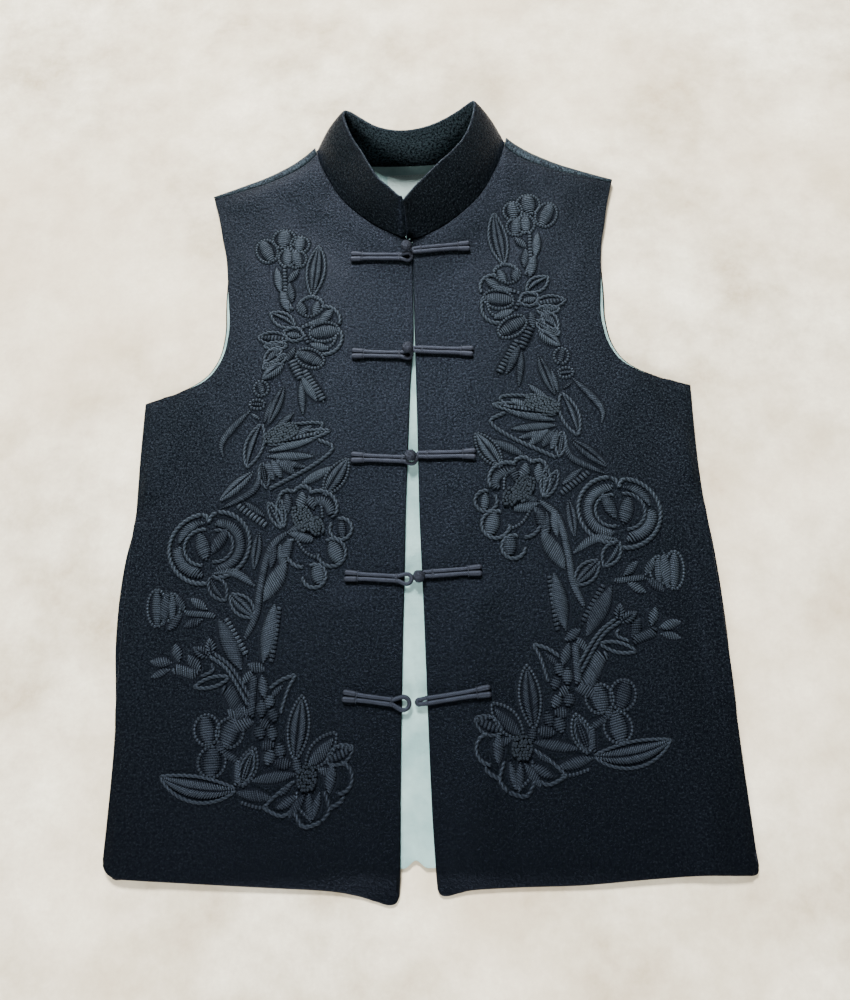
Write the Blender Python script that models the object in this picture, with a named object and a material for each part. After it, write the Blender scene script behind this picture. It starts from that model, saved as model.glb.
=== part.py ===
"""Embroidered waistcoat with a stand-up collar and five corded frogs, lying flat on its back.

Sizes are in millimetres and become metres when a mesh is made.  +X is the wearer's left, +Y runs
from the hem to the collar and +Z is up.  A place on the garment is given by across, measured from
the centre front, and up, measured from the chest line, level with the underarms.
"""
import math

import bpy
from mathutils import Vector
from mathutils.geometry import delaunay_2d_cdt

MM = 0.001
BOX_MIDDLE = (-1.7, -63.9)         # across and up of the middle of the garment's box

# ---- cloth ---------------------------------------------------------------------------------
GAP = 0.3                          # between pieces sewn together
BACK_WALL = 2.0
LINING_WALL = 1.0
FRONT_WALL = 2.4
FACING_WALL = 1.6
COLLAR_WALL = 3.0
LABEL_WALL = 0.4
LINING_LEVEL = BACK_WALL + GAP     # underside of the back's lining
FRONT_LEVEL = 3.7                  # underside of a front where it lies on the lining
EDGE_LEVEL = BACK_WALL + GAP       # underside of a front at its side seam
FACING_CLEAR = EDGE_LEVEL + FACING_WALL + 0.7
EDGE_ROLL = 1.1                    # width of the rounded edge of a front
EDGE_DROP = 0.9                    # how far the face falls at that edge
EDGE_RAMP = 9.0                    # a front rises from its side seam to the lining over this width
POCKET_RAMP = 15.0                 # and stays over the pocket facing as far in as this

# ---- outline, as (across, up); tables with no side in their name serve both sides -----------------
SIDE_RIGHT = ((248.5, 0.0), (248.6, -50.0), (247.7, -108.0), (249.0, -140.0), (249.5, -200.0),
              (248.8, -262.0), (247.6, -313.0), (247.7, -358.0), (248.2, -388.0))
SIDE_LEFT = ((248.5, 0.0), (246.9, -45.0), (246.4, -85.0), (248.0, -144.0), (249.8, -213.0),
             (250.6, -250.0), (250.5, -300.0), (251.0, -350.0), (251.4, -388.0))
ARMHOLE = ((197.3, 221.6), (190.6, 196.0), (185.9, 172.0), (181.4, 150.0), (177.2, 108.0),
           (174.6, 80.0), (175.6, 61.0), (178.4, 46.5), (184.0, 33.6), (192.0, 23.2),
           (204.0, 14.6), (222.0, 8.0), (238.0, 3.6), (248.5, 0.0))
FRONT_NECK = ((13.0, 166.0), (32.0, 176.6), (51.0, 192.4), (67.0, 209.5), (81.0, 232.0),
              (89.2, 249.5), (93.0, 262.5))
BACK_NECK = ((0.0, 254.5), (25.0, 255.3), (50.0, 257.4), (73.0, 261.4), (86.0, 266.0), (96.9, 269.5))
BACK_HEM = ((0.0, -396.0), (60.0, -396.6), (160.0, -398.0), (238.0, -401.5), (246.0, -397.5),
            (248.2, -388.0))
BACK_SHOW = 4.4                    # the back's armhole lies this far beyond the front's
HEM_NOTCH = (-5.5, 9.0, 5.5)       # across, half width and height of the nick in the back hem

# shoulder: where the front's seam lies on top of the folded strap, and the fold beyond it
SHOULDER = (  # seam across, seam up, face height at the seam, fold across, fold up, thickness, and how
    # much farther up the fold lies on the wearer's left, and down on the right
    (93.6, 262.5, 17.6, 96.0, 273.8, 20.5, 1.3),
    (101.0, 256.0, 16.4, 106.5, 264.9, 18.6, 1.3),
    (113.0, 248.5, 14.4, 119.0, 257.0, 16.4, 1.4),
    (127.0, 242.6, 12.8, 131.5, 250.6, 14.4, 1.3),
    (141.5, 237.6, 11.3, 145.5, 244.2, 12.6, 1.0),
    (158.0, 232.8, 9.9, 161.0, 238.5, 11.0, 0.7),
    (173.5, 228.6, 8.8, 175.5, 233.3, 9.8, 0.5),
    (186.5, 224.9, 7.9, 188.0, 228.9, 8.7, 0.3),
    (197.3, 221.6, 7.2, 198.4, 225.2, 8.0, 0.3))

# centre front edge of each front, as (distance from the centre, up)
CENTRE_RIGHT = ((0.4, 161.0), (0.2, 140.0), (0.4, 96.0), (1.4, 54.0), (3.8, 13.0), (6.4, -40.0), (9.3, -102.0),
                (11.0, -156.0), (13.4, -223.0), (16.0, -317.0), (17.4, -400.0))
CENTRE_LEFT = ((0.2, 161.0), (0.2, 96.0), (0.6, 54.0), (1.0, 13.0), (1.5, -46.0), (2.0, -120.0), (3.9, -190.0),
               (5.6, -272.0), (7.4, -350.0), (9.6, -400.0))
HEM_RIGHT = ((18.4, -416.0), (21.0, -420.6), (27.0, -421.8), (37.0, -419.0), (52.0, -414.8),
             (75.0, -411.2), (121.0, -408.2), (167.0, -405.2), (214.0, -402.0), (234.0, -400.4),
             (243.6, -396.0))
HEM_LEFT = ((10.4, -411.0), (12.6, -415.2), (18.0, -416.2), (28.0, -414.0), (39.0, -412.2),
            (73.0, -410.9), (118.0, -410.2), (163.0, -407.2), (208.0, -404.8), (238.0, -405.2),
            (250.0, -404.8), (252.0, -398.0))

# soft folds of the fronts: from (across, up) to (across, up), half width and height
FOLDS_RIGHT = (
    (203.0, 8.0, 236.0, -84.0, 20.0, 2.2),
    (70.0, 120.0, 60.0, -60.0, 46.0, 1.3),
    (120.0, -60.0, 215.0, -130.0, 38.0, 1.2),
    (60.0, -200.0, 48.0, -390.0, 34.0, 1.4),
    (150.0, 200.0, 100.0, 130.0, 32.0, 1.5),
    (190.0, -200.0, 226.0, -395.0, 30.0, 1.2))
FOLDS_LEFT = (
    (198.0, 14.0, 241.0, -78.0, 22.0, 2.6),
    (64.0, 110.0, 54.0, -70.0, 44.0, 1.2),
    (112.0, -50.0, 205.0, -140.0, 40.0, 1.3),
    (50.0, -190.0, 40.0, -395.0, 32.0, 1.5),
    (154.0, 196.0, 104.0, 124.0, 34.0, 1.4),
    (196.0, -190.0, 222.0, -398.0, 28.0, 1.3))

POCKET_TOP = -128.0
POCKET_BOTTOM = -268.0
POCKET_EDGE = ((249.9, -128.0), (253.4, -150.0), (255.4, -185.0), (254.6, -222.0), (251.8, -250.0),
               (250.0, -268.0))
POCKET_INSIDE = 239.0
POCKET_LEFT_SHOW = 0.4             # the wearer's left facing stands out this share as far

LABEL = (-24.0, 24.0, 205.0, 243.0)   # left, right, lower and upper edges

# ---- collar: lower edge, then top edge, each as (across, up, height), centre front to back ---------
COLLAR_LOWER = (
    (12.0, 167.9, 8.0), (30.8, 178.4, 8.0), (49.9, 193.6, 8.3), (65.9, 210.5, 9.2),
    (79.8, 232.8, 11.4), (87.9, 250.1, 14.0), (91.7, 262.8, 14.8), (92.9, 270.0, 11.4),
    (90.6, 275.0, 6.4), (84.0, 271.2, 2.2), (70.0, 264.8, 0.9), (47.0, 260.0, 0.7), (23.5, 258.0, 0.7))
COLLAR_TOP_LEFT = (
    (2.6, 194.4, 44.0), (14.0, 207.8, 44.0), (27.6, 223.2, 44.0), (39.6, 235.2, 44.0),
    (49.6, 247.0, 44.2), (56.8, 260.4, 44.6), (61.2, 274.4, 45.2), (63.6, 288.4, 45.6),
    (61.8, 292.6, 45.0), (56.0, 289.6, 44.0), (46.0, 281.8, 43.6), (32.0, 272.8, 43.2),
    (16.5, 266.0, 43.0))
COLLAR_TOP_RIGHT = (
    (10.6, 187.2, 44.0), (19.9, 197.8, 44.0), (29.2, 208.2, 44.0), (37.6, 223.5, 44.0),
    (45.3, 239.6, 44.2), (54.0, 255.4, 44.6), (60.2, 271.8, 45.2), (62.6, 283.4, 45.6),
    (60.8, 288.0, 45.0), (55.0, 286.6, 44.0), (45.0, 278.6, 43.6), (32.0, 269.2, 43.2),
    (16.0, 263.6, 43.0))
COLLAR_BACK = ((0.0, 257.2, 0.7), (0.0, 262.6, 43.0))
COLLAR_END_OVER = ((-5.2, 164.4, 8.2), (-6.8, 181.4, 44.0))     # wearer's left end, laps over
COLLAR_END_UNDER = ((-3.0, 170.2, 8.6), (-7.6, 186.8, 43.4))   # wearer's right end, beneath it
COLLAR_SWELL = 2.2                 # how far the band bows out at mid height
COLLAR_STEPS = 2                   # sections between two rows of the table

# ---- frogs ---------------------------------------------------------------------------------
CORD = 1.95                        # radius of one cord
CORD_SPACING = 2.5                 # of each cord from the middle of the pair
CORD_FLARE = 0.8                   # more of it at the outer end
CORD_LEVEL = 2.6                   # of a cord's middle over the face that it is sewn to
KNOT_EYE = 2.6                     # radius, where the half that holds the ball turns back
BALL = 5.3                         # radius of a ball knot
BALL_TALL = 4.2                    # half its height
FROG_LOOPS = (  # outer end (across, up), turned end (across, up), radius of its eye
    (-58.8, 146.2, -0.9, 141.6, 3.8),
    (-56.9, 41.7, -2.2, 38.6, 3.8),
    (-56.7, -61.1, 0.2, -65.0, 4.2),
    (-61.4, -167.9, -5.4, -172.6, 4.4),
    (-61.7, -267.1, -8.6, -275.0, 5.2))
FROG_KNOTS = (  # outer end (across, up), turned end (across, up)
    (54.5, 152.8, 3.4, 148.0),
    (53.6, 39.4, 2.4, 44.2),
    (52.0, -61.7, 4.8, -60.4),
    (53.0, -166.4, 7.6, -168.6),
    (56.2, -265.9, -2.6, -273.6))
BALLS = (  # across, up, height of its middle over the front's face; the last frog has lost its own
    (-5.4, 149.0, 9.0),
    (-5.6, 42.6, 9.0),
    (-4.6, -63.4, 9.0),
    (0.8, -170.8, 5.0))

# ---- embroidery: padded shapes, each along a bowed line ------------------------------------------
PAD = 1.3                          # height of the padding over the cloth
WIDE = 9.6                         # a shape wider than this has two crests
SPRAY_LEFT_SHIFT = (-8.0, 21.0)    # the wearer's left spray sits higher and nearer the centre
SPRAY_LEFT_RISE = 8.0              # and its lowest flower higher still
FLOWERS = (  # kind, across, up, size, heading
    ("five", 124.0, 158.0, 44.0, 90.0),
    ("scalloped", 91.0, 73.0, 62.0, 200.0),
    ("lotus", 119.0, -52.0, 66.0, 168.0),
    ("rose", 180.0, -139.0, 70.0, 40.0),
    ("peony", 95.0, -127.0, 76.0, 190.0),
    ("bud", 208.0, -191.0, 32.0, 0.0),
    ("four", 163.0, -301.0, 38.0, 62.0),
    ("lily", 88.0, -331.0, 66.0, 120.0))
SPRAYS = (  # across, up, heading, length, width, bend, profile
    (97.0, 112.0, 98.0, 38.0, 10.5, -20.0, "leaf"),
    (129.0, 134.0, -94.0, 27.0, 6.4, 10.0, "even"),
    (119.0, 132.0, -90.0, 26.0, 5.4, -14.0, "even"),
    (124.0, 84.0, 24.0, 28.0, 12.5, 8.0, "leaf"),
    (125.0, 68.0, -10.0, 29.0, 12.5, -10.0, "leaf"),
    (120.0, 53.0, -46.0, 24.0, 9.0, -12.0, "leaf"),
    (106.0, 34.0, -70.0, 17.0, 8.0, 0.0, "petal"),
    (97.0, 35.0, -100.0, 15.0, 8.0, 0.0, "petal"),
    (92.0, 17.0, -116.0, 28.0, 7.4, 6.0, "even"),
    (106.0, 14.0, -96.0, 30.0, 8.0, 18.0, "leaf"),
    (120.0, 32.0, -62.0, 24.0, 9.0, -10.0, "leaf"),
    (128.0, 10.0, -74.0, 36.0, 12.0, -6.0, "leaf"),
    (151.0, -8.0, -40.0, 42.0, 8.0, -34.0, "leaf"),
    (139.0, -25.0, -75.0, 40.0, 13.0, 0.0, "leaf"),
    (144.0, -71.0, -43.0, 38.0, 11.0, 0.0, "leaf"),
    (141.0, -66.0, -60.0, 38.0, 6.4, 16.0, "even"),
    (102.0, -85.0, 149.0, 32.0, 9.4, 0.0, "leaf"),
    (81.0, -95.0, 122.0, 36.0, 13.0, 0.0, "leaf"),
    (151.0, -99.0, 217.0, 24.0, 7.0, 0.0, "even"),
    (136.5, -127.0, -85.0, 34.0, 9.0, 0.0, "leaf"),
    (119.0, -139.0, -52.0, 44.0, 5.4, -20.0, "even"),
    (133.0, -174.0, -74.0, 62.0, 5.4, 8.0, "even"),
    (110.0, -156.0, -60.0, 36.0, 10.0, 8.0, "leaf"),
    (139.0, -176.0, 38.0, 38.0, 7.4, -48.0, "leaf"),
    (140.0, -198.0, 42.0, 26.0, 12.0, 0.0, "leaf"),
    (171.0, -199.0, 6.0, 26.0, 6.0, 0.0, "even"),
    (181.0, -190.0, 60.0, 14.0, 6.4, 0.0, "leaf"),
    (187.0, -202.0, -16.0, 17.0, 6.4, 8.0, "leaf"),
    (148.0, -241.0, 62.0, 42.0, 9.0, 0.0, "even"),
    (129.0, -239.0, 100.0, 44.0, 6.5, 0.0, "even"),
    (146.0, -268.0, 42.0, 30.0, 7.0, -10.0, "leaf"),
    (160.0, -258.0, 60.0, 36.0, 6.0, 4.0, "even"),
    (174.0, -246.0, 22.0, 24.0, 4.6, 14.0, "even"),
    (178.0, -218.0, 110.0, 15.0, 7.4, 0.0, "leaf"),
    (185.0, -221.0, 46.0, 17.0, 8.0, 0.0, "leaf"),
    (201.0, -234.0, 96.0, 17.0, 7.4, 0.0, "leaf"),
    (203.0, -239.0, 14.0, 21.0, 7.4, 6.0, "leaf"),
    (200.0, -244.0, -22.0, 18.0, 6.4, 4.0, "leaf"),
    (120.0, -272.0, 110.0, 32.0, 14.0, -8.0, "leaf"),
    (132.0, -258.0, 96.0, 10.0, 8.4, 0.0, "berry"),
    (127.0, -270.0, 96.0, 9.4, 8.4, 0.0, "berry"),
    (136.0, -272.0, 96.0, 9.4, 8.4, 0.0, "berry"),
    (129.0, -282.0, 96.0, 9.4, 8.4, 0.0, "berry"),
    (120.0, -288.0, 96.0, 9.4, 8.4, 0.0, "berry"),
    (127.0, -296.0, 96.0, 9.4, 8.4, 0.0, "berry"),
    (117.0, -301.0, 96.0, 9.4, 8.4, 0.0, "berry"),
    (124.0, -309.0, 96.0, 9.4, 8.4, 0.0, "berry"),
    (103.0, -316.0, 96.0, 44.0, 14.0, 4.0, "leaf"),
    (146.0, -338.0, 66.0, 24.0, 6.0, 10.0, "even"),
    (139.0, -338.0, 108.0, 32.0, 11.0, -16.0, "leaf"),
    (151.0, -344.0, -2.0, 64.0, 15.0, 30.0, "leaf"),
    (114.0, -328.0, -14.0, 26.0, 8.0, 8.0, "leaf"),
    (116.0, -346.0, 4.0, 28.0, 8.0, -10.0, "leaf"))


# ---- curves --------------------------------------------------------------------------------
def smooth_line(points, count):
    """count + 1 places, evenly spread along a smooth curve through the points."""
    points = [Vector(p) for p in points]
    ends = [points[0] * 2 - points[1]] + points + [points[-1] * 2 - points[-2]]
    fine = []
    steps = 12
    for i in range(1, len(ends) - 2):
        before, start, end, after = ends[i - 1:i + 3]
        for step in range(steps):
            t = step / steps
            fine.append(0.5 * (2 * start + (end - before) * t
                               + (2 * before - 5 * start + 4 * end - after) * t * t
                               + (3 * start - 3 * end + after - before) * t ** 3))
    fine.append(points[-1])
    run = [0.0]
    for a, b in zip(fine, fine[1:]):
        run.append(run[-1] + (b - a).length)
    places = []
    at = 0
    for i in range(count + 1):
        goal = run[-1] * i / count
        while at < len(run) - 2 and run[at + 1] < goal:
            at += 1
        share = (goal - run[at]) / (run[at + 1] - run[at])
        places.append(fine[at].lerp(fine[at + 1], share))
    return places


def read_table(rows, key, column, at):
    """The value of a column where the key column, which rises or falls, reaches at."""
    if (rows[-1][key] - rows[0][key]) * (at - rows[0][key]) <= 0:
        return rows[0][column]
    for a, b in zip(rows, rows[1:]):
        if (a[key] - at) * (b[key] - at) <= 0 and a[key] != b[key]:
            return a[column] + (b[column] - a[column]) * (at - a[key]) / (b[key] - a[key])
    return rows[-1][column]


def ease(share):
    """0 to 1, with a soft start and end."""
    share = min(1.0, max(0.0, share))
    return share * share * (3 - 2 * share)


def distance(point, line):
    """How far a place is from a line of places."""
    best = 1e9
    for a, b in zip(line, line[1:]):
        along = b - a
        share = min(1.0, max(0.0, (point - a).dot(along) / along.dot(along)))
        best = min(best, (point - a - along * share).length)
    return best


def inside(point, outline):
    """Whether a place is within a closed outline."""
    within = False
    for a, b in zip(outline, outline[1:] + outline[:1]):
        if (a.y > point.y) != (b.y > point.y):
            if point.x < a.x + (b.x - a.x) * (point.y - a.y) / (b.y - a.y):
                within = not within
    return within


def inset(outline, width):
    """The outline moved inwards by width; the outline runs anticlockwise."""
    moved = []
    count = len(outline)
    for i, point in enumerate(outline):
        ahead = (outline[(i + 1) % count] - point).normalized()
        behind = (point - outline[i - 1]).normalized()
        along = (ahead + behind).normalized()
        moved.append(point + Vector((-along.y, along.x)) * width)
    return moved


# ---- meshes --------------------------------------------------------------------------------
def material(name, colour, roughness):
    made = bpy.data.materials.new(name)
    made.use_nodes = True
    shader = made.node_tree.nodes["Principled BSDF"]
    shader.inputs["Base Color"].default_value = (*colour, 1.0)
    shader.inputs["Roughness"].default_value = roughness
    shader.inputs["Metallic"].default_value = 0.0
    return made


def add_object(name, points, faces, look):
    """A named object from points in millimetres of (across, up, height)."""
    mesh = bpy.data.meshes.new(name)
    middle_across, middle_up = BOX_MIDDLE
    places = [((p[0] - middle_across) * MM, (p[1] - middle_up) * MM, p[2] * MM) for p in points]
    mesh.from_pydata(places, [], faces)
    mesh.materials.append(look)
    mesh.shade_smooth()
    mesh.set_sharp_from_angle(angle=math.radians(50))
    made = bpy.data.objects.new(name, mesh)
    bpy.context.scene.collection.objects.link(made)
    return made


def close_sheet(outer, inner, faces):
    """Points and faces of a closed wall: outer faces, the same faces inside, and the edges."""
    count = len(outer)
    all_faces = [tuple(f) for f in faces]
    all_faces += [tuple(count + i for i in reversed(f)) for f in faces]
    sides = set()
    for face in faces:
        for a, b in zip(face, face[1:] + face[:1]):
            sides.add((a, b))
    for a, b in sides:
        if (b, a) not in sides:
            all_faces.append((b, a, count + a, count + b))
    return list(outer) + list(inner), all_faces


def triangulate(points, loops, outline):
    """Triangles between the points inside the outline, keeping each loop's sides."""
    sides = []
    for loop in loops:
        sides += [(a, b) for a, b in zip(loop, loop[1:] + loop[:1])]
    found = delaunay_2d_cdt(points, sides, [], 0, 1e-5, True)
    verts, faces, sources = found[0], found[2], found[3]
    kept = []
    for face in faces:
        middle = (verts[face[0]] + verts[face[1]] + verts[face[2]]) / 3
        if inside(middle, outline):
            kept.append(tuple(face))
    return verts, kept, sources


def add_panel(name, outline, underside, wall, shapes, look, spacing, rounded, extra=()):
    """A sheet over an outline.  underside(place) is its lower face; shapes stand on its face."""
    count = len(outline)
    points = list(outline)
    drop = EDGE_DROP if rounded else 0.0
    heights = [wall - drop] * count
    loops = [list(range(count))]
    crowded = []
    if rounded:
        points += inset(outline, EDGE_ROLL)
        heights += [wall] * count
        loops.append(list(range(count, 2 * count)))
    for rim, crests in shapes:
        first = len(points)
        points += rim
        for place in rim:
            others = [other for other, _ in shapes if other is not rim and inside(place, other)]
            heights.append(wall + (PAD * 0.6 if others else 0.0))
        loops.append(list(range(first, first + len(rim))))
        crowded.append(rim)
        for place, height in crests:
            points.append(place)
            heights.append(wall + height)
    centres = [(sum(rim, Vector((0, 0))) / len(rim), rim) for rim in crowded]
    edge = outline + outline[:1]

    def free(place):
        for centre, rim in centres:
            if (centre - place).length < 60:
                if inside(place, rim) or distance(place, rim + rim[:1]) < spacing * 0.3:
                    return False
        return True

    places = list(extra)
    for place in grid_places(outline, spacing):
        near = min([distance(place, edge)] + [(place - other).length for other in extra])
        if near > spacing * 0.42:
            places.append(place)
    for place in places:
        if free(place):
            points.append(place)
            heights.append(wall)
    verts, faces, sources = triangulate(points, loops, outline)
    outer = []
    rim_of = {}
    for i, vert in enumerate(verts):
        height = wall
        for source in sources[i]:
            height = heights[source]
            if source < count:
                rim_of[source] = i
        outer.append((vert.x, vert.y, underside(vert) + height))
    base_points = list(outline) + places
    base, base_faces, base_sources = triangulate(base_points, loops[:1], outline)
    inner = [(v.x, v.y, underside(v)) for v in base]
    base_rim = {}
    for i, found in enumerate(base_sources):
        for source in found:
            if source < count:
                base_rim[source] = i
    first = len(outer)
    all_faces = faces + [tuple(first + i for i in reversed(f)) for f in base_faces]
    for i in range(count):
        j = (i + 1) % count
        all_faces.append((rim_of[j], rim_of[i], first + base_rim[i], first + base_rim[j]))
    return add_object(name, outer + inner, all_faces, look)


def grid_places(outline, spacing):
    """Places in staggered rows inside an outline."""
    places = []
    low_x = min(p.x for p in outline)
    high_x = max(p.x for p in outline)
    up = min(p.y for p in outline) + spacing / 2
    row = 0
    while up < max(p.y for p in outline):
        across = low_x + spacing * (0.25 + 0.5 * (row % 2))
        while across < high_x:
            place = Vector((across, up))
            if inside(place, outline):
                places.append(place)
            across += spacing
        up += spacing * 0.87
        row += 1
    return places


# ---- embroidery ------------------------------------------------------------------------------
PROFILES = {  # half width of a shape, as a share of its widest, at shares of its length
    "leaf": ((0.0, 0.0), (0.2, 0.72), (0.5, 1.0), (0.78, 0.66), (1.0, 0.0)),
    "petal": ((0.0, 0.3), (0.3, 0.78), (0.65, 1.0), (0.92, 0.66), (1.0, 0.3)),
    "even": ((0.0, 0.6), (0.12, 1.0), (0.5, 1.0), (0.88, 1.0), (1.0, 0.6)),
    "berry": ((0.0, 0.35), (0.2, 0.85), (0.5, 1.0), (0.8, 0.85), (1.0, 0.35))}


def flower_shapes(kind, size):
    """Rows like SPRAYS, round a flower's middle and facing along +across, for its size."""
    rows = []

    def ring(count, first, step, reach, length, width, profile):
        for k in range(count):
            turn = first + step * k
            rows.append((reach * size * math.cos(math.radians(turn)),
                         reach * size * math.sin(math.radians(turn)),
                         turn, length * size, width * size, 0.0, profile))

    def arcs(count, first, step, radius, sweep, width):
        for k in range(count):
            turn = first + step * k
            rows.append((radius * size * math.cos(math.radians(turn)),
                         radius * size * math.sin(math.radians(turn)),
                         turn + 90, math.radians(sweep) * radius * size, width * size, sweep, "even"))

    def heart(width):
        rows.append((-width * size / 2, 0.0, 0.0, width * size, width * size, 0.0, "berry"))

    if kind == "five":
        ring(5, 0, 72, 0.19, 0.31, 0.34, "petal")
        heart(0.26)
    elif kind == "four":
        ring(4, 0, 80, 0.15, 0.36, 0.36, "petal")
        heart(0.2)
    elif kind == "scalloped":
        ring(8, 10, 45, 0.28, 0.22, 0.25, "petal")
        ring(5, 0, 72, 0.12, 0.13, 0.13, "petal")
        heart(0.16)
    elif kind == "lotus":
        ring(5, -64, 32, 0.2, 0.44, 0.17, "leaf")
        ring(3, -40, 40, 0.02, 0.15, 0.1, "petal")
    elif kind == "rose":
        arcs(3, 0, 120, 0.42, 96, 0.13)
        arcs(3, 60, 120, 0.26, 92, 0.11)
        arcs(1, 130, 0, 0.11, 190, 0.1)
    elif kind == "peony":
        ring(7, -114, 38, 0.3, 0.21, 0.22, "petal")
        ring(5, -90, 45, 0.1, 0.17, 0.11, "petal")
        ring(2, 146, 68, 0.12, 0.24, 0.1, "leaf")
    elif kind == "bud":
        ring(1, 0, 0, 0.3, 0.55, 0.62, "petal")
        ring(2, -58, 116, 0.1, 0.4, 0.2, "leaf")
    elif kind == "lily":
        ring(4, 45, 90, 0.15, 0.38, 0.19, "leaf")
        ring(4, 0, 90, 0.17, 0.2, 0.16, "petal")
        heart(0.18)
    return rows


def spray_rows(side):
    """Every padded shape of one front, flowers and sprays, in the front's own places."""
    rows = list(SPRAYS)
    for kind, across, up, size, heading in FLOWERS:
        turn = math.radians(heading)
        for dx, dy, angle, length, width, bend, profile in flower_shapes(kind, size):
            rows.append((across + dx * math.cos(turn) - dy * math.sin(turn),
                         up + dx * math.sin(turn) + dy * math.cos(turn),
                         angle + heading, length, width, bend, profile))
    if side < 0:
        return rows
    move_across, move_up = SPRAY_LEFT_SHIFT
    moved = []
    for across, up, *rest in rows:
        rise = SPRAY_LEFT_RISE * ease((-270 - up) / 40)
        moved.append((across + move_across, up + move_up + rise, *rest))
    return moved


def padded_shape(row, side):
    """The rim of one padded shape, anticlockwise, and its crests as (place, height)."""
    across, up, heading, length, width, bend, profile = row
    rows = PROFILES[profile]
    stations = 2 if length < 20 else 3
    if length > 36:
        stations = 4
    if length > 60:
        stations = 6
    shares = [0.0] + [(k + 0.5) / stations for k in range(stations)] + [1.0]
    place = Vector((across, up))
    spine = [place.copy()]
    turn = math.radians(heading)
    for a, b in zip(shares, shares[1:]):
        middle = turn + math.radians(bend) * (a + b) / 2
        place = place + Vector((math.cos(middle), math.sin(middle))) * length * (b - a)
        spine.append(place.copy())
    left, right, crests = [], [], []
    height = PAD * min(1.0, 0.55 + width / 16)
    for share, centre in zip(shares, spine):
        angle = turn + math.radians(bend) * share
        out = Vector((-math.sin(angle), math.cos(angle))) * (width / 2)
        half = read_table(rows, 0, 1, share)
        if half > 0:
            left.append(centre + out * half)
            right.append(centre - out * half)
        else:
            left.append(centre)
        if 0.0 < share < 1.0:
            if width > WIDE:
                crests.append((centre + out * half * 0.5, height))
                crests.append((centre - out * half * 0.5, height))
            else:
                crests.append((centre, height))
    rim = left[::-1] + right
    rim = [Vector((side * p.x, p.y)) for p in rim]
    crests = [(Vector((side * p.x, p.y)), h) for p, h in crests]
    if side < 0:
        rim = rim[::-1]
    return rim, crests


# ---- pieces ----------------------------------------------------------------------------------
def flat(points):
    return [Vector(p[:2]) for p in points]


def seam_line():
    return flat(SHOULDER)


def side_table(side):
    return SIDE_RIGHT if side < 0 else SIDE_LEFT


def front_outline(side):
    """One front's outline, anticlockwise as seen from above."""
    centre = CENTRE_RIGHT if side < 0 else CENTRE_LEFT
    hem = HEM_RIGHT if side < 0 else HEM_LEFT
    line = smooth_line(hem, 17)
    line += smooth_line(side_table(side)[::-1], 10)
    line += smooth_line(ARMHOLE[::-1], 17)[1:]
    line += seam_line()[::-1][1:]
    line += smooth_line(FRONT_NECK[::-1], 11)[1:]
    line += smooth_line(centre, 13)
    line = [Vector((side * p.x, p.y)) for p in line]
    return line if side > 0 else line[::-1]


def back_hem_at(across):
    at, half, height = HEM_NOTCH
    notch = height * ease(1 - abs(across - at) / half)
    return read_table(BACK_HEM, 0, 1, abs(across)) + notch


def front_underside(side):
    """A function that gives the height of a front's lower face at a place."""
    seam = [Vector((side * p.x, p.y)) for p in seam_line()]
    neck = [Vector((side * p[0], p[1])) for p in ((0.0, 160.5),) + FRONT_NECK]
    edge = [Vector((side * p[0], p[1])) for p in ARMHOLE[-2:-1] + side_table(side)]
    folds = FOLDS_RIGHT if side < 0 else FOLDS_LEFT

    def height(place):
        place = Vector(place[:2])
        across = abs(place.x)
        seam_top = read_table(SHOULDER, 0, 2, across) - FRONT_WALL
        to_seam = distance(place, seam)
        lift = (seam_top - FRONT_LEVEL) * (1 - ease(to_seam / 84)) ** 1.2
        neck_lift = 5.0 * (1 - ease(distance(place, neck) / 52))
        lift = max(lift, neck_lift) + 0.25 * min(lift, neck_lift) * ease(to_seam / 40)
        for x1, y1, x2, y2, half, tall in folds:
            line = [Vector((side * x1, y1)), Vector((side * x2, y2))]
            lift += tall * (1 - ease(distance(place, line) / half))
        level = FRONT_LEVEL + lift
        to_edge = distance(place, edge)
        level = EDGE_LEVEL + (level - EDGE_LEVEL) * ease(to_edge / EDGE_RAMP)
        pocket = ease((POCKET_TOP + 24 - place.y) / 18) * ease((place.y - POCKET_BOTTOM + 24) / 18)
        pocket *= 1 - ease((to_edge - POCKET_RAMP) / 14)
        level = max(level, EDGE_LEVEL + (FACING_CLEAR - EDGE_LEVEL) * pocket)
        past_hem = back_hem_at(place.x) - place.y
        return GAP + (level - GAP) * (1 - ease((past_hem - 1.0) / 22))

    return height


def add_front(name, side, look):
    outline = front_outline(side)
    shapes = [padded_shape(row, side) for row in spray_rows(side)]
    return add_panel(name, outline, front_underside(side), FRONT_WALL, shapes, look, 26.0, True,
                     bend_places(outline, side))


def bend_places(outline, side):
    """Places where a front's level changes: inside its edges, along the back's hem, by the pocket."""
    places = inset(outline, EDGE_RAMP)[::2]
    for up in range(int(POCKET_BOTTOM) - 6, int(POCKET_TOP) + 8, 20):
        places.append(Vector((side * (250 - POCKET_RAMP), up)))
    for across in range(30, 240, 18):
        places.append(Vector((side * across, back_hem_at(side * across) + 1.8)))
    kept = []
    edge = outline + outline[:1]
    for place in places:
        if inside(place, outline) and distance(place, edge) > EDGE_RAMP * 0.6:
            if all((place - other).length > 4.0 for other in kept):
                kept.append(place)
    return kept


def back_edge(side):
    """Across and up of the back's side and armhole, hem to shoulder, by row, as if at +across."""
    seam = smooth_line(side_table(side)[::-1], 7)
    armhole = smooth_line(ARMHOLE[::-1], 17)
    extra = []
    for i, place in enumerate(armhole):
        share = i / (len(armhole) - 1)
        swell = BACK_SHOW * ease(share / 0.2) * ease((0.72 - share) / 0.25)
        ahead = armhole[min(i + 1, len(armhole) - 1)]
        behind = armhole[max(i - 1, 0)]
        along = (ahead - behind).normalized()
        extra.append(place + Vector((along.y, -along.x)) * swell)
    return seam, extra


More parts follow.
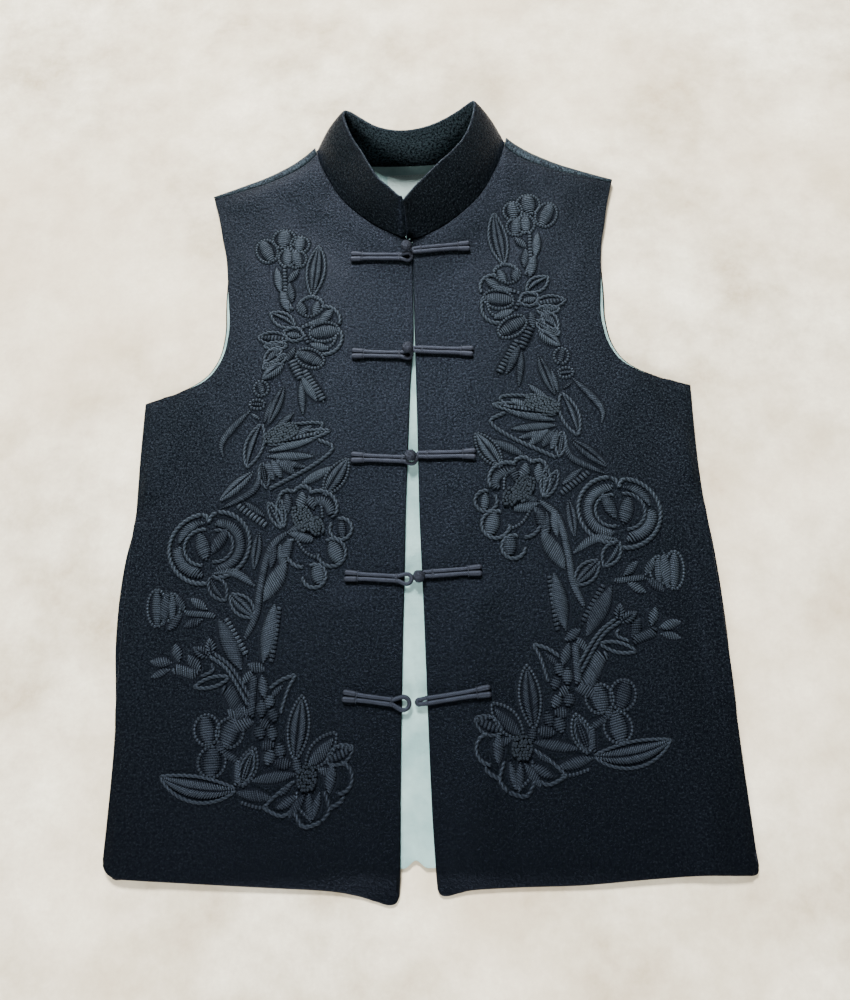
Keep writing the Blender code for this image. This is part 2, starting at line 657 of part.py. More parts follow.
def strap_section(row, side):
    """Outer and inner points over the shoulder, from the table to the seam."""
    seam_x, seam_y, seam_z, fold_x, fold_y, thick, lean = row
    fold_y += side * lean
    out = Vector((fold_x - seam_x, fold_y - seam_y)).normalized()
    reach = min((Vector((fold_x, fold_y)) - Vector((seam_x, seam_y))).length * 0.9, thick / 2)
    middle = Vector((fold_x, fold_y)) - out * reach
    outer, inner = [], []
    for step in range(7):
        angle = math.radians(-90 + 30 * step)
        for points, less in ((outer, 0.0), (inner, BACK_WALL)):
            place = middle + out * (reach - less) * math.cos(angle)
            points.append((place.x, place.y, thick / 2 + (thick / 2 - less) * math.sin(angle)))
    clear = Vector((seam_x, seam_y)) + out * GAP
    outer.append((clear.x, clear.y, seam_z))
    inner.append((clear.x, clear.y, seam_z - BACK_WALL))
    return outer, inner


def add_back(look):
    """The back lies flat; its straps fold over at the shoulders, to the seam on the front."""
    edge_lines = []
    for side in (-1, 1):
        seam, hole = back_edge(side)
        edge_lines.append(seam[:-1] + hole)
    foot = [Vector(strap_section(row, 0)[0][0][:2]) for row in SHOULDER]
    neck = smooth_line(BACK_NECK, 5)[:-1]
    top = [Vector(p) for p in neck] + foot                  # centre to shoulder tip
    tip = top[-1]
    columns = list(range(-len(top) + 1, len(top)))
    outer, inner, faces, index = [], [], [], {}
    rows = len(edge_lines[0])
    for r in range(rows):
        for c in columns:
            sign = -1 if c < 0 else 1
            edge_line = edge_lines[c > 0]
            edge = edge_line[r] if r < rows - 1 else tip
            above = max(0.0, edge.y) / tip.y
            share = top[abs(c)].x / tip.x
            across = sign * share * edge.x
            bend = (top[abs(c)].y - tip.y) * above ** 1.5
            up = edge.y + bend
            if edge.y < 0:
                hem = back_hem_at(across)
                low = edge_line[0].y
                up = hem + (edge.y - low) * (0.0 - hem) / (0.0 - low)
            index[(r, c)] = len(outer)
            outer.append((across, up, 0.0))
            inner.append((across, up, BACK_WALL))
    for r in range(rows - 1):
        for c in columns[:-1]:
            faces.append((index[(r, c)], index[(r + 1, c)], index[(r + 1, c + 1)], index[(r, c + 1)]))
    for sign in (-1, 1):
        strap = [strap_section(row, sign) for row in SHOULDER]
        for k, (outer_strap, inner_strap) in enumerate(strap):
            c = sign * (len(neck) + k)
            index[(rows - 1, c, 0)] = index[(rows - 1, c)]
            for step in range(1, len(outer_strap)):
                index[(rows - 1, c, step)] = len(outer)
                x, y, z = outer_strap[step]
                outer.append((sign * x, y, z))
                x, y, z = inner_strap[step]
                inner.append((sign * x, y, z))
        for k in range(len(strap) - 1):
            a = sign * (len(neck) + k)
            b = sign * (len(neck) + k + 1)
            for step in range(len(strap[0][0]) - 1):
                face = (index[(rows - 1, a, step)], index[(rows - 1, a, step + 1)],
                        index[(rows - 1, b, step + 1)], index[(rows - 1, b, step)])
                faces.append(face if sign > 0 else face[::-1])
    points, all_faces = close_sheet(outer, inner, faces)
    return add_object("back", points, all_faces, look)


def lining_outline():
    """The back's lining: clear of the side seams, close to the armholes, neck and hem."""
    hem = [Vector((x, back_hem_at(x) + 1.6)) for x in (0, 8, 16, 60, 110, 160, 200, 228)]
    left_hem = [Vector((-x, back_hem_at(-x) + 1.6)) for x in (228, 200, 160, 110, 60, 18, 11, 5.5)]
    side = [Vector((232.0, y)) for y in (-380, -300, -220, -140, -60, -14)]
    _, hole = back_edge(1)
    hole = [p for p in hole if p.x < 226]
    armhole = []
    for i, place in enumerate(hole):
        ahead = hole[min(i + 1, len(hole) - 1)]
        behind = hole[max(i - 1, 0)]
        along = (ahead - behind).normalized()
        armhole.append(place + Vector((-along.y, along.x)) * 1.6)
    armhole = [p for p in armhole if p.y < 208]
    shoulder = []
    for seam_x, seam_y, _, fold_x, fold_y, thick, _ in SHOULDER[::-1]:
        out = Vector((fold_x - seam_x, fold_y - seam_y)).normalized()
        shoulder.append(Vector((fold_x, fold_y)) - out * (thick / 2 + 7.0))
    shoulder = [p for p in shoulder[1:-1]]
    neck = [Vector((x, y - 0.6)) for x, y in BACK_NECK[::-1] if x < 80]
    half = side + armhole + shoulder + neck[:-1]
    centre = [neck[-1]]
    mirrored = [Vector((-p.x, p.y)) for p in half[::-1]]
    return hem + half + centre + mirrored + left_hem


def add_lining(look):
    return add_panel("back_lining", lining_outline(), lambda place: LINING_LEVEL, LINING_WALL, [],
                     look, 60.0, False)


def add_label(look):
    left, right, low, high = LABEL
    outline = [Vector(p) for p in ((left, low), (right, low), (right, high), (left, high))]
    level = LINING_LEVEL + LINING_WALL + GAP
    return add_panel("neck_label", outline, lambda place: level, LABEL_WALL, [], look, 30.0, False)


def add_pocket_facing(name, side, look):
    """The strip of cloth that shows beside a pocket mouth in the side seam."""
    show = POCKET_LEFT_SHOW if side > 0 else 1.0
    seam = side_table(side)
    line = []
    for x, y in POCKET_EDGE:
        at_seam = read_table(seam, 1, 0, y)
        line.append((at_seam + (x - at_seam) * show, y))
    line = smooth_line(line, 10)
    line += [Vector((POCKET_INSIDE, y)) for y in (POCKET_BOTTOM + 4, -230, -198, -165, POCKET_TOP - 4)]
    line = [Vector((side * p.x, p.y)) for p in line]
    outline = line if side < 0 else line[::-1]
    return add_panel(name, outline, lambda place: EDGE_LEVEL, FACING_WALL, [], look, 40.0, False)


def collar_rows():
    """The band's (lower, top) rows, from the end that laps over, round the back, to the end beneath."""
    rows = [COLLAR_END_OVER] + list(zip(COLLAR_LOWER, COLLAR_TOP_LEFT)) + [COLLAR_BACK]
    for lower, top in zip(COLLAR_LOWER[::-1], COLLAR_TOP_RIGHT[::-1]):
        rows.append(((-lower[0], *lower[1:]), (-top[0], *top[1:])))
    return rows + [COLLAR_END_UNDER]


def add_collar(look):
    rows = collar_rows()
    lower = smooth_rows([Vector(lower) for lower, _ in rows])
    upper = smooth_rows([Vector(top) for _, top in rows])
    shares = (0.0, 0.22, 0.48, 0.74, 0.96)
    points, faces = [], []
    count = len(lower)
    for i in range(count):
        rise = upper[i] - lower[i]
        a = max(i - 1, 0)
        b = min(i + 1, count - 1)
        along = (lower[b] - lower[a]) + (upper[b] - upper[a])
        out = along.cross(rise).normalized()
        half = out * COLLAR_WALL / 2
        centre = [lower[i] + rise * s + out * COLLAR_SWELL * math.sin(math.pi * s) for s in shares]
        ring = [c + half for c in centre]
        ring.append(upper[i] + rise.normalized() * 0.6)
        ring += [c - half for c in centre[::-1]]
        points += ring
    size = 2 * len(shares) + 1
    for i in range(count - 1):
        for k in range(size):
            a = i * size + k
            b = i * size + (k + 1) % size
            faces.append((a, a + size, b + size, b))
    faces.append(tuple(range(size)))
    faces.append(tuple((count - 1) * size + k for k in reversed(range(size))))
    return add_object("collar", points, faces, look)


def smooth_rows(points):
    """The points with COLLAR_STEPS steps of a smooth curve between each pair."""
    ends = [points[0] * 2 - points[1]] + points + [points[-1] * 2 - points[-2]]
    line = []
    for i in range(1, len(ends) - 2):
        before, start, end, after = ends[i - 1:i + 3]
        for step in range(COLLAR_STEPS):
            t = step / COLLAR_STEPS
            line.append(0.5 * (2 * start + (end - before) * t
                               + (2 * before - 5 * start + 4 * end - after) * t * t
                               + (3 * start - 3 * end + after - before) * t ** 3))
    return line + [points[-1]]


# ---- frogs -----------------------------------------------------------------------------------
def face_height(across, up):
    """Height of the fronts' face near the centre front, also over the gap between them."""
    side = -1 if across < 0 else 1
    centre = CENTRE_RIGHT if side < 0 else CENTRE_LEFT
    inner = read_table(centre, 1, 0, up) + 2.0
    return front_underside(side)((side * max(abs(across), inner), up)) + FRONT_WALL


def tube(name, route, radius, look, sides=6):
    """A closed tube with flat ends along a list of points."""
    points, faces = [], []
    count = len(route)
    for i in range(count):
        along = (route[min(i + 1, count - 1)] - route[max(i - 1, 0)]).normalized()
        side = Vector((along.y, -along.x, 0)).normalized()
        up = side.cross(along)
        for k in range(sides):
            angle = 2 * math.pi * (k + 0.5) / sides
            points.append(route[i] + (side * math.cos(angle) + up * math.sin(angle)) * radius)
    for i in range(count - 1):
        for k in range(sides):
            a = i * sides + k
            b = i * sides + (k + 1) % sides
            faces.append((a, a + sides, b + sides, b))
    faces.append(tuple(range(sides)))
    faces.append(tuple((count - 1) * sides + k for k in reversed(range(sides))))
    return add_object(name, points, faces, look)


def hairpin(outer, inner, eye):
    """A doubled cord from an outer end to a turned end, whose eye is that wide."""
    start = Vector(outer)
    end = Vector(inner)
    along = (end - start).normalized()
    out = Vector((-along.y, along.x))
    length = (end - start).length
    straight = []
    for share in (0.0, 0.14, 0.3, 0.52, 0.74):
        half = CORD_SPACING + CORD_FLARE * (1 - ease(share / 0.3))
        straight.append((start + along * length * share, half))
    straight.append((start + along * (length - 2 * eye - 3.0), CORD_SPACING))
    route = [place - out * half for place, half in straight]
    for step in range(7):
        angle = math.radians(-120 + 40 * step)
        turn = along * math.cos(angle) + out * math.sin(angle)
        route.append(end - along * eye + turn * eye)
    return route + [place + out * half for place, half in straight[::-1]]


def add_frogs(look):
    halves = []
    for number, (outer_x, outer_y, end_x, end_y, eye) in enumerate(FROG_LOOPS, 1):
        halves.append((f"frog_loop_{number}", (outer_x, outer_y), (end_x, end_y), eye))
    for number, (outer_x, outer_y, end_x, end_y) in enumerate(FROG_KNOTS, 1):
        halves.append((f"frog_knot_{number}", (outer_x, outer_y), (end_x, end_y), KNOT_EYE))
    for name, outer, inner, eye in halves:
        route = [Vector((p.x, p.y, face_height(p.x, p.y) + CORD_LEVEL))
                 for p in hairpin(outer, inner, eye)]
        tube(name, route, CORD, look)
    for number, (across, up, level) in enumerate(BALLS, 1):
        add_ball(f"ball_knot_{number}", across, up, level, look)


def add_ball(name, across, up, level, look):
    """A slightly flat round knot, whose middle is that high over the front's face."""
    middle = Vector((across, up, face_height(across, up) + level))
    bands, spokes = 5, 8
    points = [middle - Vector((0, 0, BALL_TALL))]
    for band in range(1, bands):
        slope = math.pi * band / bands
        for k in range(spokes):
            angle = 2 * math.pi * k / spokes
            reach = BALL * math.sin(slope)
            points.append(middle + Vector((reach * math.cos(angle), reach * math.sin(angle),
                                           -BALL_TALL * math.cos(slope))))
    points.append(middle + Vector((0, 0, BALL_TALL)))
    faces = []
    for k in range(spokes):
        after = (k + 1) % spokes
        faces.append((0, 1 + after, 1 + k))
        faces.append((len(points) - 1, len(points) - 1 - spokes + k, len(points) - 1 - spokes + after))
        for band in range(bands - 2):
            a = 1 + band * spokes
            faces.append((a + k, a + after, a + spokes + after, a + spokes + k))
    return add_object(name, points, faces, look)


# ---- the waistcoat -----------------------------------------------------------------------------
def clear_scene():
    for thing in list(bpy.data.objects):
        bpy.data.objects.remove(thing, do_unlink=True)


def build():
    clear_scene()
    wool = material("wool", (0.012, 0.016, 0.024), 0.92)
    lining = material("lining", (0.62, 0.68, 0.65), 0.55)
    cord = material("cord", (0.03, 0.031, 0.036), 0.6)
    add_back(wool)
    add_lining(lining)
    add_label(lining)
    for name, side in (("right", -1), ("left", 1)):
        add_pocket_facing(f"pocket_facing_{name}", side, wool)
        add_front(f"front_{name}", side, wool)
    add_collar(wool)
    add_frogs(cord)


build()
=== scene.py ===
"""The waistcoat's looks: cloth, embroidery, frogs and light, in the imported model's frame.

Places are in millimetres: across from the centre front, positive towards the wearer's left, up from
the chest line, and height over the surface.  The embroidery's tables hold the wearer's right front,
with across counted outwards; the left front mirrors them, moved by LEFT_SHIFT.
"""
import math

import bpy
import numpy as np
from mathutils import Matrix, Vector
from mathutils.geometry import delaunay_2d_cdt


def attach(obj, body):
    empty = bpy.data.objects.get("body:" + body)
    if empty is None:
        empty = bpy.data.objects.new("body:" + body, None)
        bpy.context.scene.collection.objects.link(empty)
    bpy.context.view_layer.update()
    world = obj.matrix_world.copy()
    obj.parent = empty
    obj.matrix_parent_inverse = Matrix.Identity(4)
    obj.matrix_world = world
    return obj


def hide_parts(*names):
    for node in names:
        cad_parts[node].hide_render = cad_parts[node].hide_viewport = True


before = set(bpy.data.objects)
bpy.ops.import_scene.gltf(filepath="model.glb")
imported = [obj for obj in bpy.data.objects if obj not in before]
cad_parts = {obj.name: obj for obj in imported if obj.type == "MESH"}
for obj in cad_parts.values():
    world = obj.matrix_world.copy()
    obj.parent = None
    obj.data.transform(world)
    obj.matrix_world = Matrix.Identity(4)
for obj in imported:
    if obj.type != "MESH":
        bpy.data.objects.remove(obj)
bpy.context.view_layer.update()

MM = 0.001
BOX_MIDDLE = np.array((-1.7, -63.9, 0.0))

# ---- cloth: as in the solids, apart from the shoulders, front edges and a hem corner -------------
LINING_LEVEL, LINING_WALL = 2.3, 1.0
BACK_WALL, FRONT_WALL, FACING_WALL, COLLAR_WALL = 2.0, 2.4, 1.6, 3.0
FRONT_LEVEL, EDGE_LEVEL, GAP = 3.7, 2.3, 0.3
FACING_CLEAR = EDGE_LEVEL + FACING_WALL + 0.7
EDGE_ROLL, EDGE_RAMP, POCKET_RAMP = 1.2, 9.0, 15.0
POCKET_TOP, POCKET_BOTTOM, POCKET_INSIDE, POCKET_LEFT_SHOW = -128.0, -268.0, 239.0, 0.4

SIDE = {
    -1: ((248.5, 0), (248.6, -50), (247.7, -108), (249, -140), (249.5, -200), (248.8, -262),
         (247.6, -313), (247.7, -358), (248.2, -386)),
    1: ((248.5, 0), (246.9, -45), (246.4, -85), (248, -144), (249.8, -213), (250.6, -250), (250.5, -300),
        (251, -350), (251.4, -388))}
ARMHOLE = ((197.3, 221.6), (190.6, 196), (185.9, 172), (181.4, 150), (177.2, 108), (174.6, 80),
           (175.6, 61), (178.4, 46.5), (184, 33.6), (192, 23.2), (204, 14.6), (222, 8), (238, 3.6),
           (248.5, 0))
FRONT_NECK = ((13, 166), (32, 176.6), (51, 192.4), (67, 209.5), (81, 232), (89.2, 249.5), (93, 262.5))
BACK_NECK = ((0, 254.5), (25, 255.3), (50, 257.4), (73, 261.4), (86, 266), (96.9, 269.5))
BACK_HEM = ((0, -396), (60, -396.6), (160, -398), (238, -401.5), (246, -397.5), (248.2, -388))
HEM_NOTCH = (-5.5, 9, 5.5)
SHOULDER = (  # seam across, seam up, face height at the seam, fold across, fold up, thickness, lean
    (93.6, 262.5, 17.6, 96, 273.8, 18.3, 1.3),
    (101, 254.6, 16.4, 106.5, 264.9, 17, 1.3),
    (113, 246.2, 14.4, 119, 257, 14.9, 1.4),
    (127, 239.8, 12.8, 131.5, 250.6, 13.2, 1.3),
    (141.5, 234.4, 11.3, 145.5, 244.2, 11.6, 1),
    (158, 229.9, 9.9, 161, 238.5, 10.1, 0.7),
    (173.5, 226.2, 8.8, 175.5, 233.3, 9, 0.5),
    (186.5, 223.2, 7.9, 188, 228.9, 8.1, 0.3),
    (197.3, 221.6, 7.2, 198.4, 225.2, 7.4, 0.3))
CENTRE = {
    -1: ((0.4, 161), (0.15, 140), (0.15, 96), (0.7, 52), (3.8, 13), (6.4, -40), (9.3, -102), (11, -156),
         (13.4, -223), (16, -317), (17.4, -400)),
    1: ((0.2, 161), (0.2, 96), (0.6, 54), (1, 13), (1.5, -46), (2, -120), (3.9, -190), (5.6, -272),
        (7.4, -350), (9.6, -400))}
HEM = {
    -1: ((18.4, -416), (21, -420.6), (27, -421.8), (37, -419), (52, -414.8), (75, -411.2), (121, -408.2),
         (167, -405.2), (214, -402), (234, -400.4), (240.2, -398.4), (244.6, -395), (247.2, -391)),
    1: ((10.4, -411), (12.6, -415.2), (18, -416.2), (28, -414), (39, -412.2), (73, -410.9), (118, -410.2),
        (163, -407.2), (208, -404.8), (238, -405.2), (250, -404.8), (252, -398))}
FOLDS = {  # from (across, up) to (across, up), half width and height
    -1: ((203, 8, 236, -84, 20, 2.2), (70, 120, 60, -60, 46, 1.3), (120, -60, 215, -130, 38, 1.2),
         (60, -200, 48, -390, 34, 1.4), (150, 200, 100, 130, 32, 1.5), (190, -200, 226, -395, 30, 1.2)),
    1: ((198, 14, 241, -78, 22, 2.6), (64, 110, 54, -70, 44, 1.2), (112, -50, 205, -140, 40, 1.3),
        (50, -190, 40, -395, 32, 1.5), (154, 196, 104, 124, 34, 1.4), (196, -190, 222, -398, 28, 1.3))}
CREASES = {  # soft creases over the folds: from (across, up) to (across, up), half width, height
    -1: ((186, 14, 150, 60, 9, 0.7), (196, 4, 170, -60, 12, 0.8), (226, -20, 196, -110, 14, -0.7),
         (60, 128, 96, 60, 12, 0.5), (58, 30, 30, -30, 10, 0.5), (30, 20, 44, -50, 9, -0.5),
         (62, -80, 30, -150, 11, 0.5), (60, -180, 26, -240, 11, 0.5), (70, -280, 30, -380, 14, 0.6),
         (232, -300, 212, -396, 12, 0.7), (150, 205, 176, 150, 12, -0.7), (120, 225, 150, 190, 10, 0.7),
         (84, 205, 110, 190, 9, 0.6), (100, -372, 150, -402, 12, 0.5), (44, 150, 70, 174, 9, -0.5),
         (182, 208, 108, 236, 12, 1.7), (176, 196, 150, 120, 13, 0.9)),
    1: ((184, 18, 148, 66, 9, 0.8), (196, 6, 166, -54, 12, 0.9), (232, -14, 200, -96, 14, -0.8),
        (58, 132, 90, 70, 12, 0.5), (56, 30, 26, -34, 10, 0.5), (28, 24, 40, -50, 9, -0.5),
        (60, -80, 26, -150, 11, 0.5), (58, -184, 24, -240, 11, 0.5), (66, -284, 26, -384, 14, 0.6),
        (236, -300, 216, -398, 12, 0.7), (154, 205, 178, 150, 12, -0.7), (122, 226, 152, 190, 10, 0.7),
        (86, 207, 112, 190, 9, 0.6), (96, -372, 146, -404, 12, 0.5), (46, 150, 72, 174, 9, -0.5),
        (186, 212, 106, 242, 15, 1.6), (172, 180, 150, 110, 13, 1))}
POCKET_EDGE = ((249.9, -128), (253.4, -150), (255.4, -185), (254.6, -222), (251.8, -250), (250, -268))
LABEL = (-24, 24, 205, 243)        # left, right, lower and upper edges
SEAM_REACH = 84                    # how far from the shoulder seam a front still rises towards it
NECK_LIFT, NECK_REACH = 5.0, 52    # rise of a front at its neck edge, and how far it reaches
HEM_REACH = 22                     # how far past the back's hem a front sinks to the floor
ARMHOLE_SHOW = 4.4                 # how far the back's armhole stands out from the front's
LINING_TUCK = 1.6                  # of the lining inside the back's armhole

COLLAR_LOWER = (
    (12, 167.9, 8), (30.8, 178.4, 8), (49.9, 193.6, 8.3), (65.9, 210.5, 9.2), (79.8, 232.8, 11.4),
    (87.9, 250.1, 14), (91.7, 262.8, 14.8), (92.9, 270, 11.4), (90.6, 275, 6.4), (84, 271.2, 2.2),
    (70, 264.8, 0.9), (47, 260, 0.7), (23.5, 258, 0.7))
COLLAR_TOP_LEFT = (
    (2.6, 194.4, 44), (14, 207.8, 44), (27.6, 223.2, 44), (39.6, 235.2, 44), (49.6, 247, 44.2),
    (56.8, 260.4, 44.6), (61.2, 274.4, 45.2), (63.6, 288.4, 45.6), (61.8, 292.6, 45), (56, 289.6, 44),
    (46, 281.8, 43.6), (32, 272.8, 43.2), (16.5, 266, 43))
COLLAR_TOP_RIGHT = (
    (10.6, 187.2, 44), (19.9, 197.8, 44), (29.2, 208.2, 44), (37.6, 223.5, 44), (45.3, 239.6, 44.2),
    (54, 255.4, 44.6), (60.2, 271.8, 45.2), (62.6, 283.4, 45.6), (60.8, 288, 45), (55, 286.6, 44),
    (45, 278.6, 43.6), (32, 269.2, 43.2), (16, 263.6, 43))
COLLAR_BACK = ((0, 257.2, 0.7), (0, 262.6, 43))
COLLAR_END_OVER = ((-5.2, 164.4, 8.2), (-6.8, 181.4, 44))
COLLAR_END_UNDER = ((-3, 170.2, 8.6), (-7.6, 186.8, 43.4))
COLLAR_SWELL, COLLAR_TALL = 2.2, 44
COLLAR_TURNS = 0.965               # share of the height where the top edge starts to turn over
SEAM_SHOW = 3.0                    # seam allowance beyond the collar, under the fronts

CORD, CORD_SPACING, CORD_FLARE, CORD_LEVEL, KNOT_EYE = 1.8, 1.95, 0.9, 2.4, 1.95
BALL_REACH = 3.2                   # how far under its ball a knot's cord runs
BALL, BALL_FLAT, BALL_CORD = 5.3, 0.84, 1.15    # radius, share of it that is the height, cord's radius
WOUND, WOUND_RADIUS = 9.5, 2.35    # length and radius of the thread wound round a cord's end
SEWN_RADIUS = 0.42                 # of the threads sewn over a pair of cords
FROG_LOOPS = ((-58.8, 146.2, -0.9, 141.6, 3.8), (-56.9, 41.7, -2.2, 38.6, 3.8),
              (-56.7, -61.1, 0.2, -65, 4.2), (-61.4, -167.9, -5.4, -172.6, 4.4),
              (-61.7, -267.1, -8.6, -275, 5.2))
FROG_KNOTS = ((54.5, 152.8, 3.4, 148), (53.6, 39.4, 2.4, 44.2), (52, -61.7, 4.8, -60.4),
              (53, -166.4, 7.6, -168.6), (56.2, -265.9, -2.6, -273.6))
BALLS = ((-5.4, 149, 9), (-5.6, 42.6, 9), (-4.6, -63.4, 9), (0.8, -170.8, 5))

# ---- embroidery ----------------------------------------------------------------------------------
LEFT_SHIFT = (  # up on the right front, then how far across and up the left front's motif is moved
    (-360, -11, 19), (-300, -10, 20), (-200, -7, 20), (-140, -6, 21),
    (-20, -7, 20), (30, -6, 24), (60, -3, 28), (100, -9, 27),
    (150, -11, 27), (200, -11, 28))

# leaf is a pointed satin pad, fish one with a vein, ball a round one, stem an even one and rung a row
# of thick bars.  loop and frill are a leaf drawn round in rope or beads, feather a looped fish, half a
# looped leaf sewn on one side of its vein, bars a looped leaf with bars across, petal a ringed ball and
# knots a round patch of French knots.
SHAPES = (  # stitch, then rows of across, up, heading, length, width and any bend
    # small flower at the top, its stems and leaf
    ("petal", (125, 159, 92, 20, 22), (136, 145, 66, 26, 20), (111, 154, 100, 18, 18),
     (109, 137, 74, 19, 18), (121, 139, 90, 19, 17)), ("leaf", (132, 138, -102, 28, 10),
     (127, 113, -112, 26, 11)), ("rung", (124, 140, -94, 38, 5)), ("leaf", (119, 121, 122, 17, 9),
     (118, 121, -97, 22, 9)), ("feather", (96, 105, 97, 56, 17, -4)),
    # many-petalled flower
    ("frill", (98, 83, 92, 22, 25)), ("leaf", (103, 84, 74, 17, 10), (95, 84, 112, 16, 10),
     (90, 75, 138, 20, 11)), ("petal", (98, 65, 176, 28, 20)), ("leaf", (100, 73, 160, 22, 9),
     (97, 55, 205, 20, 9)), ("petal", (109, 46, 208, 28, 18)), ("loop", (103, 62, 20, 20, 14)),
    ("leaf", (106, 62, 20, 14, 8)), ("rung", (109, 70, 153, 20, 5), (107, 71, -118, 18, 5)),
    ("bars", (118, 61, 4, 28, 13)), ("feather", (118, 54, 0, 22, 8)), ("half", (112, 73, 38, 28, 14, -8)),
    ("loop", (124, 52, -47, 22, 12)), ("leaf", (124, 52, -47, 19, 8)),
    ("feather", (118, 44, -30, 26, 11)), ("leaf", (112, 52, -70, 16, 9)),
    # leaves and buds under it
    ("rung", (114, 38, -117, 21, 11)), ("fish", (121, 36, -40, 26, 14)), ("rung", (102, 27, -121, 38, 9)),
    ("leaf", (104, 22, -118, 31, 10), (105, 17, -96, 35, 8)), ("fish", (120, 12, -73, 41, 11, 4)),
    ("leaf", (131, -2, -76, 24, 6), (110, -15, -46, 28, 8)), ("petal", (139, 3, 75, 15, 13),
     (137, -6, 5, 14, 9)), ("leaf", (149, -15, -148, 10, 4)), ("half", (139, -25, -75, 43, 16)),
    # lotus
    ("bars", (133, -45, 167, 57, 10, 4)), ("knots", (136, -41, 160, 34, 16)),
    ("leaf", (108, -38, 149, 18, 8), (133, -52, 170, 44, 8, -6), (133, -57, 182, 43, 9),
     (126, -62, 192, 30, 8), (129, -61, 238, 20, 10), (124, -60, 222, 24, 10), (133, -62, 246, 20, 9)),
    ("feather", (137, -63, 258, 24, 9)),
    # leaves between lotus, rose and peony
    ("leaf", (102, -85, 149, 32, 10)), ("fish", (81, -95, 122, 39, 14)),
    ("frill", (81, -95, 122, 39, 17)), ("fish", (144, -71, -43, 40, 12)),
    ("leaf", (151, -99, 217, 24, 7)), ("rung", (157, -102, 216, 33, 8)),
    ("fish", (137, -127, -85, 34, 10)),
    # rose, and the branch under it
    ("ball", (188, -127, -104, 24, 15)), ("leaf", (177, -146, 117, 27, 13)),
    ("half", (177, -165, 236, 25, 14)), ("feather", (159, -181, 223, 29, 15)),
    # peony
    ("bars", (117, -124, 62, 27, 9), (116, -124, 80, 28, 8)), ("leaf", (112, -127, 157, 26, 9),
     (112, -129, 192, 24, 9)), ("knots", (93, -127, 62, 26, 17), (84, -131, 70, 16, 12)),
    ("leaf", (111, -110, 77, 18, 10), (100, -109, 85, 18, 12), (91, -108, 80, 13, 10),
     (110, -128, 149, 28, 11), (110, -130, 195, 22, 10)), ("ball", (74, -137, -110, 21, 15),
     (86, -157, 262, 18, 14), (66, -119, 263, 16, 9)), ("leaf", (108, -133, -66, 26, 13),
     (123, -134, -84, 26, 10)),
    # stems, bud and twigs
    ("leaf", (118, -138, -100, 25, 10), (130, -188, 119, 40, 17, -8), (129, -239, 100, 50, 16)),
    ("rung", (117, -192, -84, 47, 7)), ("leaf", (168, -202, 242, 48, 17)),
    ("rung", (162, -201, 238, 38, 7)), ("stem", (197, -196, 186, 27, 6)), ("leaf", (178, -194, 38, 18, 9),
     (181, -201, -26, 17, 9), (197, -195, 63, 17, 9), (198, -197, -45, 18, 10)),
    ("petal", (219, -207, 84, 32, 16), (207, -203, 86, 24, 14)), ("leaf", (213, -206, 88, 30, 12)),
    # sprigs
    ("loop", (156, -250, -14, 29, 8)), ("stem", (182, -248, 18, 22, 10)),
    ("leaf", (204, -238, 10, 19, 10), (205, -243, -17, 17, 8), (199, -237, 80, 16, 10),
     (181, -245, 57, 17, 11)), ("fish", (174, -233, 31, 16, 11), (172, -231, 80, 14, 11)),
    ("stem", (158, -256, -118, 34, 14)), ("leaf", (156, -275, -160, 18, 15), (134, -287, -2, 19, 13)),
    ("stem", (137, -282, 92, 34, 8)), ("leaf", (141, -239, 206, 16, 10), (138, -244, -63, 14, 8),
     (130, -249, -104, 19, 10)),
    # berries and the leaves beside them
    ("ball", (129, -282, 95, 13, 11), (116, -285, 60, 10, 11), (122, -275, 90, 10, 11),
     (121, -289, 20, 9, 11), (129, -299, 90, 10, 12), (117, -300, 70, 11, 11), (117, -305, 10, 10, 11),
     (112, -314, 90, 11, 11), (121, -319, 95, 12, 12), (103, -318, 0, 13, 11), (97, -325, 75, 11, 9)),
    ("leaf", (112, -257, -49, 14, 6)), ("fish", (100, -315, 95, 47, 14)),
    ("frill", (100, -316, 95, 50, 17)),
    # small flower near the hem and its stem
    ("petal", (169, -303, 76, 24, 20), (156, -305, 104, 23, 22), (165, -304, -84, 24, 22)),
    ("ball", (160, -300, -90, 9, 9)), ("stem", (145, -334, 88, 20, 7), (145, -316, 30, 16, 7)),
    ("frill", (142, -335, 107, 31, 15)), ("feather", (142, -334, 107, 27, 10)),
    # lily and the leaves beside it
    ("frill", (91, -323, 131, 36, 17)), ("leaf", (90, -323, 131, 31, 12)),
    ("bars", (75, -318, 153, 24, 14)), ("leaf", (71, -318, -88, 24, 11), (88, -340, -93, 23, 9),
     (80, -340, -77, 22, 8), (96, -343, -25, 20, 9), (101, -333, -38, 14, 7), (98, -326, -8, 37, 10),
     (116, -345, 12, 31, 10)), ("knots", (90, -339, 90, 18, 16)),
    ("feather", (146, -337, -8, 62, 19, 36)), ("leaf", (83, -322, 200, 18, 8), (92, -341, -58, 22, 9)))

